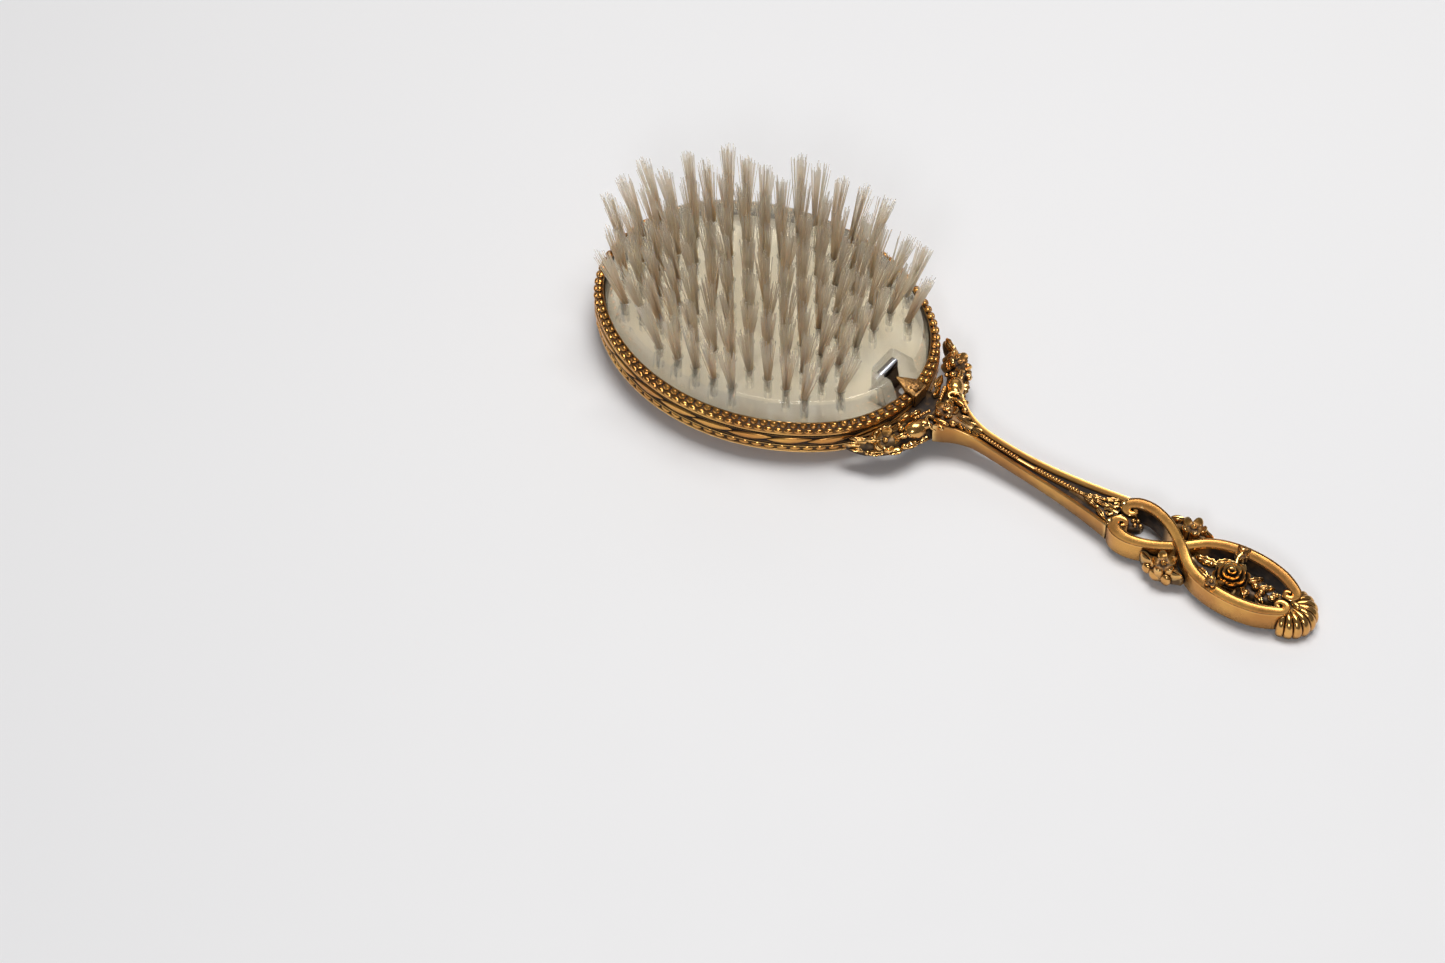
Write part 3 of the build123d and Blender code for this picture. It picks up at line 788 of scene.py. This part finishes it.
def makeRibbon(side, lift):
    route = [(x, side * y, lift * z, wide) for x, y, z, wide in ribbonRoute]
    line = curveThrough(route, ribbon["steps"])
    rings = []
    for i, (x, y, rise, wide) in enumerate(line):
        along = heading(line, i, 2)
        across = Vector((-along.y, along.x))
        inner = -side if x < ribbon["cross"] else side
        half = ribbon["half"] * wide
        heights = {"top": ribbon["top"] + rise, "low": ribbon["low"] + max(rise, 0) * 0.5}
        near = min(max((abs(x - ribbon["cross"]) - 3) / 3, 0), 1)
        ring = []
        for hand, profile in ((1, ribbonProfile), (-1, ribbonProfile[:0:-1])):
            for u, level, step, outerDark, innerDark in profile:
                height = heights[level] + (step if level == "low" else -step)
                # the inner walls of the loops are painted dark as shade, less so near the crossing
                dark = innerDark * near if hand == inner else outerDark
                ring.append((x + across.x * u * half * hand, y + across.y * u * half * hand, height, dark))
        rings.append(ring)
    return loft("ribbon", rings)


def makeRibbons():
    pair = [makeRibbon(side, side * ribbon["lift"]) for side in (1, -1)]
    gather(pair, "ribbons", 28, "frame", "gilt_casting", gilt)


makeShank()
makeRibbons()
print("shank and ribbons done")


# chased ornament: every shape is a small relief with dark creases

def relief(name, rings, x, y, z, *angles):
    piece = loft(name, rings)
    piece.data.transform(placing(x, y, z, (1 / mm, 1 / mm, 1 / mm), *angles))
    return piece


leafProfile = [  # across, rise, patina and painted shade
    (-0.9, -1.0, 1), (-1.0, 0.05, 0.3), (-0.8, 0.62, 0), (-0.5, 0.95, 0), (-0.16, 0.72, 0), (0.0, 0.34, 1),
    (0.16, 0.72, 0), (0.5, 0.95, 0), (0.8, 0.62, 0), (1.0, 0.05, 0.3), (0.9, -1.0, 1)]
flowerLevels = [  # share of radius, then height and patina and painted shade: petal, crease, petal, crease
    (0.03, 0.34, 0.34, 0, 0), (0.14, 0.28, 0.28, 0, 0), (0.22, 0.02, 0.0, 1, 1),
    (0.36, -0.08, 0.02, 0.8, 1),
    (0.56, -0.06, 0.0, 0.5, 1), (0.74, 0.18, -0.04, 0, 0.9), (0.88, 0.4, -0.12, 0, 0.8),
    (0.96, 0.36, -0.2, 0, 0.8), (1.0, 0.12, -0.3, 0, 0.8), (1.01, -0.2, -0.5, 0.2, 0.9),
    (0.98, -1.1, -1.1, 0.9, 1)]
coreProfile = [  # across, share of height
    (-0.6, 0), (-0.95, 0.15), (-1, 0.5), (-0.8, 0.85), (-0.4, 1), (0.4, 1), (0.8, 0.85), (1, 0.5),
    (0.95, 0.15), (0.6, 0)]
carving = {
    "leafStations": 16, "leafLeast": 0.06, "lobeNotch": 0.16, "veinDip": 0.22,
    "petalPoints": 10, "petalNotch": 0.3, "coreSteps": 4,
}


def leafOf(x, y, z, length, width, height, turn=0, pitch=0, roll=0, lobes=0):
    rings = []
    for i in range(carving["leafStations"] + 1):
        t = i / carving["leafStations"]
        outline = math.sin(math.pi * t ** 0.8) ** 0.75
        wave = abs(math.cos(math.pi * lobes * t)) if lobes else 0
        half = width / 2 * max(outline * (1 - carving["lobeNotch"] * wave), carving["leafLeast"])
        crown = height * (0.35 + 0.65 * math.sin(math.pi * t) ** 0.6)
        ring = []
        for u, rise, dark in leafProfile:
            vein = 1 - (carving["veinDip"] * wave if abs(u) > 0.3 else 0)
            ring.append(((t - 0.5) * length, half * u, crown * rise * vein, dark))
        rings.append(ring)
    return relief("leaf", rings, x, y, z, turn, pitch, roll)


def flowerOf(x, y, z, radius, petals, turn=0, pitch=0, deep=1.0):  # cupped petals round a boss
    rings = []
    for share, middle, crease, darkMiddle, darkCrease in flowerLevels:
        ring = []
        for angle in turns(petals * carving["petalPoints"]):
            lobe = abs(math.cos(petals * angle / 2)) ** 0.7
            reach = radius * share * (1 - (1 - lobe) * carving["petalNotch"] * share)
            height = radius * deep * (crease + (middle - crease) * lobe)
            dark = darkCrease + (darkMiddle - darkCrease) * min(lobe * 1.3, 1)
            ring.append((reach * math.cos(angle), reach * math.sin(angle), height, dark))
        rings.append(ring)
    return relief("flower", rings, x, y, z, turn, pitch)


def coreOf(points, patinaAndShade=1.0):  # ground under ornament, painted dark as patina and shade; a point is x, y, half width, low, top
    line = curveThrough(points, carving["coreSteps"])
    rings = []
    for i, (x, y, half, low, top) in enumerate(line):
        along = heading(line, i, 2)
        side = Vector((-along.y, along.x))
        rings.append([(x + side.x * half * u, y + side.y * half * u, low + (top - low) * share, patinaAndShade)
                      for u, share in coreProfile])
    return loft("core", rings)


def sided(points, side):  # the same points to one side or the other
    return [(x, side * y, *rest) for x, y, *rest in points]


def ballSet(rows, side=1):  # a row may end with a turn
    return [ball(x, side * y, z, size, turn=side * sum(turn)) for x, y, z, size, *turn in rows]


def leafSet(rows, side=1):
    return [leafOf(x, side * y, z, length, width, height, turn=side * turn, roll=side * tilt, lobes=lobes)
            for x, y, z, length, width, height, turn, tilt, lobes in rows]


def casting(parts, name):
    gather(parts, name, 60, "frame", "gilt_casting", gilt)


# yoke

armLeaves = [  # x, y, z, length, width, height, turn, tilt outwards, lobes
    (45.4, 22.7, 8.4, 5.0, 1.9, 1.2, 147, 25, 2), (46.4, 21.2, 9.3, 5.2, 1.9, 1.1, 152, 0, 2),
    (47.2, 22.1, 7.3, 5.6, 2.1, 1.2, 143, 62, 2), (49.4, 19.4, 9.7, 4.4, 2.2, 1.3, 140, 15, 2),
    (50.2, 14.9, 10.3, 4.8, 2.0, 1.1, 120, -10, 3), (51.2, 20.6, 7.3, 5.0, 2.4, 1.4, 138, 66, 3),
    (54.8, 17.2, 7.2, 4.6, 2.6, 1.5, 128, 66, 2), (54.6, 13.9, 9.9, 4.4, 2.1, 1.2, 118, 25, 2),
    (56.9, 13.0, 7.3, 5.2, 2.6, 1.4, 118, 68, 3), (58.2, 9.0, 6.9, 4.6, 2.4, 1.3, 106, 70, 2),
    (51.6, 8.2, 10.2, 4.8, 2.2, 1.1, 100, -8, 2), (53.0, 5.2, 9.7, 4.4, 1.9, 1.1, 105, -8, 2)]
armBeads = [
    (53.3, 12.2, 10.5, 0.9), (52.0, 11.2, 10.4, 0.6), (55.9, 12.0, 9.6, 0.8), (56.6, 15.4, 8.6, 0.8),
    (53.9, 18.9, 8.4, 0.8), (49.4, 22.0, 7.2, 0.7), (48.4, 20.0, 10.0, 0.6)]
armCore = [
    (43.4, 23.2, 0.6, 6.2, 8.2), (44.9, 22.3, 1.2, 5.6, 8.7), (47.4, 20.9, 1.8, 5.2, 9.2),
    (50.2, 18.5, 2.3, 5.0, 9.6), (52.5, 15.7, 2.6, 4.9, 9.8), (54.2, 12.7, 2.6, 4.9, 9.9),
    (55.7, 9.6, 2.6, 4.9, 10.0), (57.0, 6.4, 2.6, 4.9, 10.3), (58.3, 3.0, 2.6, 4.9, 10.4),
    (58.9, 0, 2.6, 4.9, 10.4)]
armScroll = [
    (60.4, 6.6, 9.6, 0.5), (58.9, 7.0, 10.9, 0.6), (57.3, 6.2, 11.2, 0.6), (56.9, 4.9, 11.2, 0.55),
    (57.8, 4.2, 11.1, 0.45), (58.2, 4.8, 11.1, 0.4)]
heartCore = [
    (56.6, 0, 4.6, 5.2, 10.4), (59.2, 0, 5.2, 5.0, 11.0), (61.6, 0, 4.6, 5.4, 11.0),
    (64.0, 0, 2.6, 6.6, 10.6), (68.0, 0, 1.4, 7.4, 9.9)]
heartBeads = [
    (60.6, 4.3, 10.9, (2.5, 0.8, 0.95), -8), (61.2, 5.7, 10.6, (1.5, 0.7, 0.8), 12),
    (63.5, 2.9, 11.1, (1.05, 0.9, 0.85))]
heartCurl = [
    (58.5, 0.2, 12.0, 0.3), (59.0, 0.9, 12.3, 0.36), (60.0, 0.7, 12.35, 0.38), (60.2, -0.3, 12.3, 0.38),
    (59.4, -0.8, 12.2, 0.34), (58.8, -0.4, 12.1, 0.3)]
lugCore = [(49.4, 0, 6.2, 5.2, 9.0), (53.0, 0, 6.6, 5.2, 9.2), (57.6, 0, 6.6, 5.2, 9.4)]
collarCore = [
    (99.0, 0, 0.9, 5.2, 6.3), (104, 0, 1.8, 4.8, 6.4), (109, 0, 3.4, 4.2, 6.4), (113.6, 0, 5.6, 2.6, 6.5)]
collarLeaves = [(106.6, 1.3, 6.5, 6.4, 1.5, 0.75, 12, 0, 4), (110.2, 2.9, 6.45, 5.0, 1.8, 0.8, 30, 0, 3)]
collarBeads = [(113.2, 3.6, 6.3, (1.0, 1.2, 0.9)), (113.5, 5.1, 4.6, (0.75, 0.9, 2.6))]
collarCurl = [
    (110.0, 1.0, 6.7, 0.36), (111.8, 0.7, 7.0, 0.42), (112.7, 1.5, 7.1, 0.42), (112.1, 2.3, 7.0, 0.4),
    (111.3, 1.9, 6.9, 0.36)]


def makeArm(side, name):
    parts = [coreOf(sided(armCore, side)), *leafSet(armLeaves, side), *ballSet(armBeads, side)]
    parts += [
        flowerOf(51.9, side * 17.5, 9.9, 3.7, 5, turn=side * 25, pitch=36, deep=0.9),
        ball(56.1, side * 9.3, 9.5, (3.5, 2.5, 2.5), turn=side * -62, roll=side * 8),
        ball(57.3, side * 7.4, 10.6, (1.9, 1.5, 1.4), turn=side * -30)]
    parts += [ball(54.3 + i * 0.3, side * (6.9 - i * 0.85), 10.7, 0.5) for i in range(6)]
    parts.append(wire(sided(armScroll, side)))
    casting(parts, name)


def makeHeart():  # the rose and leaf spray where the arms meet the shank
    parts = [coreOf(heartCore, 0.85), flowerOf(59.4, 0, 11.2, 3.3, 5, turn=30, deep=0.85)]
    parts.append(wire(heartCurl))
    for side in (-1, 1):
        parts += ballSet(heartBeads, side)
        for x, y, length, turn in ((64.4, 1.5, 4.2, 24), (66.9, 1.1, 3.4, 20), (69.2, 0.75, 2.8, 16)):
            parts.append(leafOf(x, side * y, shankTop(x) - 0.75, length, 1.5, 0.8,
                                turn=side * turn, pitch=8))
    parts += [leafOf(65.2, 0, shankTop(65.2) - 0.3, 5.6, 1.7, 0.8, pitch=10),
              leafOf(69.4, 0, shankTop(69.4) - 0.35, 4.6, 1.2, 0.6, pitch=8)]
    casting(parts, "yokeRose")


def makeLug():  # the plain block behind the yoke that the screws hold, painted fully dark as shade
    casting([coreOf(lugCore)], "yokeLug")


beading = {
    "runs": ((71.6, 82.2), (88.2, 100.8)), "pitch": 0.92, "sunk": 0.42, "half": (0.44, 0.58, 0.46),
}


def makeShankBeads():
    pieces = []
    for start, end in beading["runs"]:
        count = round((end - start) / beading["pitch"])
        for i in range(count + 1):
            x = start + (end - start) * i / count
            pieces.append(ball(x, 0, shankTop(x) - beading["sunk"], beading["half"]))
    casting(pieces, "shankBeads")


def makeCollarLeaves():
    parts = [coreOf(collarCore, 0.9), leafOf(103.8, 0, 6.5, 6.4, 1.3, 0.7, lobes=3)]
    for side in (-1, 1):
        parts += leafSet(collarLeaves, side)
        parts.append(wire(sided(collarCurl, side)))
        parts += ballSet(collarBeads, side)
    parts.append(leafOf(109.0, 0, 6.75, 6.6, 1.5, 0.8, lobes=3))
    casting(parts, "collarLeaves")


makeArm(1, "yokeArmFar")
makeArm(-1, "yokeArmNear")
makeHeart()
makeLug()
makeShankBeads()
makeCollarLeaves()
print("yoke and shank ornament done")


# openwork ornament

loopCore = [
    (114.6, 0, 4.6, 1.8, 6.4), (116.8, 0, 3.2, 2.0, 6.3), (118.8, 0, 2.2, 2.6, 6.1),
    (121.0, 0, 0.9, 3.6, 5.6)]
loopBeads = [
    (119.2, 0.85, 6.2, 0.62), (119.2, -0.85, 6.2, 0.62), (120.5, 0, 5.9, 0.62), (118.2, 0, 6.5, 0.62)]
sideLeaves = [(127.2, 8.0, 5.6, 4.4, 2.4, 1.3, 22, 0, 0), (136.0, 8.1, 5.0, 4.0, 2.2, 1.3, -6, 0, 0)]
sideBeads = [
    (131.2, 10.0, 3.6, (1.7, 1.0, 1.9)), (134.2, 9.6, 3.4, (1.6, 1.0, 1.9)),
    (128.4, 9.3, 3.6, (1.5, 0.9, 1.7))]
sideCore = [
    (125.2, 6.8, 0.8, 2.4, 5.0), (128.4, 7.4, 2.0, 1.6, 5.6), (131.8, 7.3, 2.6, 1.4, 6.0),
    (135.4, 7.5, 1.9, 1.6, 5.4), (138.2, 7.9, 0.8, 2.6, 4.6)]
rose = {
    "centre": (148.0, -0.5, 5.0), "points": 60, "radius": 5.0, "petalNotch": 0.22,
    "boss": (0.05, 3.35, 0.6), "foot": (4.3, -2.6, 1),  # radius, height, patina and painted shade
    "bands": ((0.24, 3, 0.5, 3.75), (0.5, 4, 1.2, 3.3), (0.76, 6, 0.2, 2.5), (1.0, 8, 0.9, 1.5)),
    "steps": ((0.0, 1.2, 1), (0.35, 0.7, 0.25), (0.68, 0.1, 0), (0.92, 0.0, 0), (1.0, 0.3, 0)),
}
roseCores = [
    [(136.4, 0, 0.8, 2.2, 4.8), (140.5, -0.6, 2.2, 2.0, 4.4), (144.6, -0.8, 2.4, 2.0, 4.8)],
    [(151.0, -0.4, 2.2, 2.0, 4.9), (155.4, -0.6, 2.0, 2.2, 4.8), (160.0, -0.5, 1.5, 2.4, 5.2),
     (164.0, 0, 2.0, 2.2, 5.6)]]
roseLeaves = [
    (140.6, 0.9, 5.0, 7.2, 2.9, 1.2, 8, 0, 4), (141.4, -2.6, 4.0, 5.6, 2.5, 1.1, -20, 0, 3),
    (144.2, 3.0, 5.2, 5.0, 2.4, 1.2, 38, 0, 3), (153.6, 2.3, 5.3, 4.6, 2.1, 1.1, 48, 0, 3),
    (153.2, -3.2, 5.3, 4.2, 2.1, 1.1, -52, 0, 3), (157.2, 1.7, 5.3, 4.2, 2.1, 1.1, 30, 0, 3),
    (157.4, -2.4, 5.3, 4.2, 2.1, 1.1, -34, 0, 3), (160.6, 0.9, 5.3, 3.4, 2.1, 1.1, 20, 0, 3)]
roseBeads = [
    (154.6, 0.4, 5.7, (1.2, 1.0, 1.0)), (156.8, -0.4, 5.6, (1.0, 0.9, 0.9)),
    (153.6, -2.6, 5.4, (1.0, 0.9, 0.9)), (160.0, -0.8, 5.9, (1.2, 0.8, 0.8))]


def makeLoopFlowers():
    parts = [coreOf(loopCore), *ballSet(loopBeads)]
    for side in (-1, 1):
        parts.append(coreOf(sided(sideCore, side), 0.9))
        parts.append(flowerOf(132.0, side * 7.5, 6.3, 3.5, 5, turn=side * 90, pitch=8, deep=0.95))
        parts += leafSet(sideLeaves, side) + ballSet(sideBeads, side)
    casting(parts, "loopFlowers")


def circle(radius, z, dark):
    return [(radius * math.cos(angle), radius * math.sin(angle), z, dark)
            for angle in turns(rose["points"])]


def petalRing(inner, outer, petals, turn, top, share, drop, dark):
    here = inner + (outer - inner) * share
    ring = []
    for angle in turns(rose["points"]):
        lobe = abs(math.cos(petals * angle / 2 + turn)) ** 0.6
        reach = rose["radius"] * here * (1 - rose["petalNotch"] * (1 - lobe) * (0.4 + 0.6 * share))
        ring.append((reach * math.cos(angle), reach * math.sin(angle), top - drop - 0.5 * (1 - lobe),
                     min(dark + 0.5 * max(0.7 - lobe, 0), 1)))
    return ring


def roseHead():  # four bands of petals, each lower than the one inside it
    rings = [circle(*rose["boss"])]
    inner = 0.02
    for outer, petals, turn, top in rose["bands"]:
        for step in rose["steps"]:
            rings.append(petalRing(inner, outer, petals, turn, top, *step))
        inner = outer + 0.01
    rings.append(circle(*rose["foot"]))
    return relief("rose", rings, *rose["centre"])


def makeRose():
    parts = [roseHead(), coreOf(roseCores[0]), coreOf(roseCores[1])]
    parts += leafSet(roseLeaves) + ballSet(roseBeads)
    parts += [wire([(147.0, 3.6, 6.0, 0.8), (146.6, 5.2, 6.7, 0.6), (146.8, 6.8, 7.0, 0.6)]),
              flowerOf(147.0, 6.4, 7.1, 1.9, 4, turn=20, deep=0.8)]
    for turn in (60, 95, 130):
        x = 146.6 + math.cos(math.radians(turn)) * 1.8
        y = 6.6 + math.sin(math.radians(turn)) * 1.6
        parts.append(leafOf(x, y, 7.0, 2.6, 1.1, 0.6, turn=turn))
    parts += [wire([(147.2, -3.6, 5.8, 0.8), (146.0, -5.4, 6.8, 0.6)]),
              flowerOf(145.4, -6.3, 7.3, 1.9, 5, turn=30)]
    casting(parts, "loopRose")


shell = {
    "flutes": 9, "flutePoints": 10, "from": -82, "to": 84, "root": (163.9, 0.2),
    "reach": 7.1, "extra": 1.5, "valley": 0.92,
}
shellProfile = [  # share of reach, ground height, rise of a flute, patina and painted shade in a valley
    (0.14, 6.3, 0.0, 0.8), (0.3, 6.3, 0.05, 1), (0.44, 6.2, 0.3, 1), (0.6, 5.9, 0.7, 1),
    (0.76, 5.3, 0.95, 1), (0.89, 4.5, 0.95, 0.95), (0.97, 3.6, 0.75, 0.7), (1.0, 2.8, 0.45, 0.3),
    (1.0, 1.9, 0.15, 0.0), (0.97, 0.9, 0.05, 0.1), (0.9, 0.5, 0.0, 0.6), (0.14, 0.5, 0.0, 1)]
shellCore = [(161.5, 0, 3.0, 2.2, 6.0), (165.0, 0, 4.4, 1.4, 6.1), (167.6, 0, 3.6, 1.2, 5.6)]


def makeShell():  # a fan of rounded flutes, built as slices turned about its root
    slices = shell["flutes"] * shell["flutePoints"]
    rootX, rootY = shell["root"]
    rings = []
    for i in range(slices + 1):
        turn = math.radians(shell["from"] + (shell["to"] - shell["from"]) * i / slices)
        across = 2 * ((i % shell["flutePoints"]) / shell["flutePoints"]) - 1
        swell = math.sqrt(max(1 - across * across, 0))
        reach = (shell["reach"] + shell["extra"] * math.cos(turn)) * (shell["valley"] + 0.08 * swell)
        ring = []
        for share, ground, rise, dark in shellProfile:
            out = reach * share
            ring.append((rootX + out * math.cos(turn), rootY + out * math.sin(turn), ground + rise * swell,
                         dark * (1 - min(swell * 1.5, 1))))
        rings.append(ring)
    fan = loft("fan", rings)
    casting([fan, ball(166.4, 0.2, 6.7, (1.7, 0.9, 0.9), turn=-12), coreOf(shellCore)], "tipShell")


makeLoopFlowers()
makeRose()
makeShell()
print("openwork done")


# clip over the rim's seam

tab = {
    "apex": 43.3, "half": 2.55, "mouth": 47.7, "out": 51.2, "top": 13.9, "thick": 0.75,
    "fold": (51.0, 0, 11.4), "foldSize": (0.7, 5.1, 4.2), "foldRound": 0.2,
    "rosette": (49.4, 0, 14.0, 1.6, 5),  # place, radius, petals
}


def clipStrap():
    wide = tab["half"]
    rings = []
    for x, half in ((tab["apex"], 0.15), (44.6, 0.9), (46.2, 1.8), (tab["mouth"], wide), (49.6, wide),
                    (tab["out"], wide)):
        top = tab["top"] - (0.0 if x < 50 else 1.0)
        low = top - tab["thick"] - (2.2 if x > 47 else 0)
        low = max(low, 12.7) if 47 < x < 50.5 else low
        rings.append([
            (x, -half, low), (x, -half, top - 0.25), (x, -half * 0.88, top), (x, 0, top + 0.2),
            (x, half * 0.88, top), (x, half, top - 0.25), (x, half, low)])
    return loft("strap", rings)


def clipFold():
    bpy.ops.mesh.primitive_cube_add(size=1, location=[value * mm for value in tab["fold"]],
                                    scale=[value * mm for value in tab["foldSize"]])
    fold = bpy.context.object
    bpy.ops.object.transform_apply(location=True, rotation=True, scale=True)
    bpy.ops.object.mode_set(mode="EDIT")
    bpy.ops.mesh.bevel(offset=tab["foldRound"] * mm, segments=2, affect="EDGES")
    bpy.ops.object.mode_set(mode="OBJECT")
    paintPatinaAndShade(fold.data, [0.6] * len(fold.data.vertices))
    return fold


def makeTab():
    parts = [clipStrap(), clipFold(), flowerOf(*tab["rosette"], turn=18, deep=0.7)]
    gather(parts, "seamClip", 40, "frame", "gilt_strip", granular, "joint_tab")


makeTab()
print("clip done")


# small parts kept from the frame, with their finishes

finishes = {
    "back_plate": giltBack, "seat_plate": plateInPaintedShade, "liner_card": card, "yoke_screws": steel,
    "catch_foot": springInPaintedShade, "catch_rivets": steel, "catch_leaf": springInPaintedShade, "tuft_anchors": anchor,
}
hem = {
    "back": 38.3, "front": 40.5, "half": 4.65, "low": 12.3, "top": 14.75,
    "ridges": 18, "ridgePoints": 4, "ridgeRise": 0.07,
}


def makeHem():  # bright folded edge of the spring leaf, with fine ridges across it
    rings = []
    steps = hem["ridges"] * hem["ridgePoints"]
    for i in range(steps + 1):
        y = hem["half"] * (2 * i / steps - 1)
        rise = hem["ridgeRise"] * math.sin(math.pi * i / 2)
        top, back, front = hem["top"] + rise, hem["back"], hem["front"] + rise
        rings.append([
            (back, y, hem["low"]), (back, y, top - 0.5), (back + 0.3, y, top - 0.1), (back + 0.8, y, top),
            (front - 0.6, y, top), (front - 0.15, y, top - 0.2), (front, y, top - 0.6),
            (front, y, hem["low"])])
    fold = loft("catchHem", rings)
    smooth(fold, 50)
    dress(fold, "catch", "spring_steel", chrome)


makeHem()
for node, material in finishes.items():
    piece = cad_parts[node]
    piece.data.materials.clear()
    piece.data.materials.append(material)
    for polygon in piece.data.polygons:
        polygon.material_index = 0
print("small parts done")

for piece in masters:
    bpy.data.objects.remove(piece)


# floor, lights and camera

look = {
    "camera": (0.3594, -0.4946, 0.6375), "turn": (41.33, 0.384, 36.718), "lens": 79.7,
    "floor": (0.8, 0.8, 0.82, 1), "floorPale": (0.84, 0.84, 0.85, 1),
    "sky": (0.9, 0.92, 0.96, 1), "skyStrength": 0.15,
}
lights = [  # name, place, aim, size, power, tint
    ("windowLight", (0.0, 0.26, 1.17), (0.06, 0, 0), (0.8, 0.5), 12.2, (1.0, 0.985, 0.96)),
    ("farWall", (-0.65, 1.1, 0.85), (0.06, 0, 0.05), (1.4, 0.6), 1.5, (1.0, 0.98, 0.95)),
    ("frontLight", (0.42, -0.8, 0.6), (0.06, 0, 0), (0.2, 0.2), 2.2, (0.97, 0.98, 1.0)),
]


def makeFloor():
    bpy.ops.mesh.primitive_plane_add(size=6, location=(0, 0, 0))
    floor = bpy.context.object
    floor.name = "floor"
    paint = Paint("paleFloor")
    paint.set(Base_Color=paint.mix(paint.noise(3, 2), look["floor"], look["floorPale"]))
    paint.set(Roughness=paint.noise(40, 2) * 0.1 + 0.6)
    floor.data.materials.append(paint.material)


def makeLight(name, place, aim, size, power, tint):
    bpy.ops.object.light_add(type="AREA", location=place)
    light = bpy.context.object
    light.name = name
    light.data.shape = "RECTANGLE"
    light.data.size, light.data.size_y = size
    light.data.energy = power
    light.data.color = tint
    light.rotation_euler = (Vector(aim) - Vector(place)).to_track_quat("-Z", "Y").to_euler()


def makeWorld():
    world = bpy.data.worlds.new("studio")
    world.use_nodes = True
    backdrop = world.node_tree.nodes["Background"]
    backdrop.inputs["Color"].default_value = look["sky"]
    backdrop.inputs["Strength"].default_value = look["skyStrength"]
    bpy.context.scene.world = world


def makeCamera():
    bpy.ops.object.camera_add(location=look["camera"])
    camera = bpy.context.object
    camera.rotation_euler = [math.radians(value) for value in look["turn"]]
    camera.data.lens = look["lens"]
    camera.data.sensor_width = 36
    camera.data.clip_start = 0.01
    bpy.context.scene.camera = camera


makeFloor()
for light in lights:
    makeLight(*light)
makeWorld()
makeCamera()
bpy.context.scene.view_settings.view_transform = "Standard"
print("stage done")
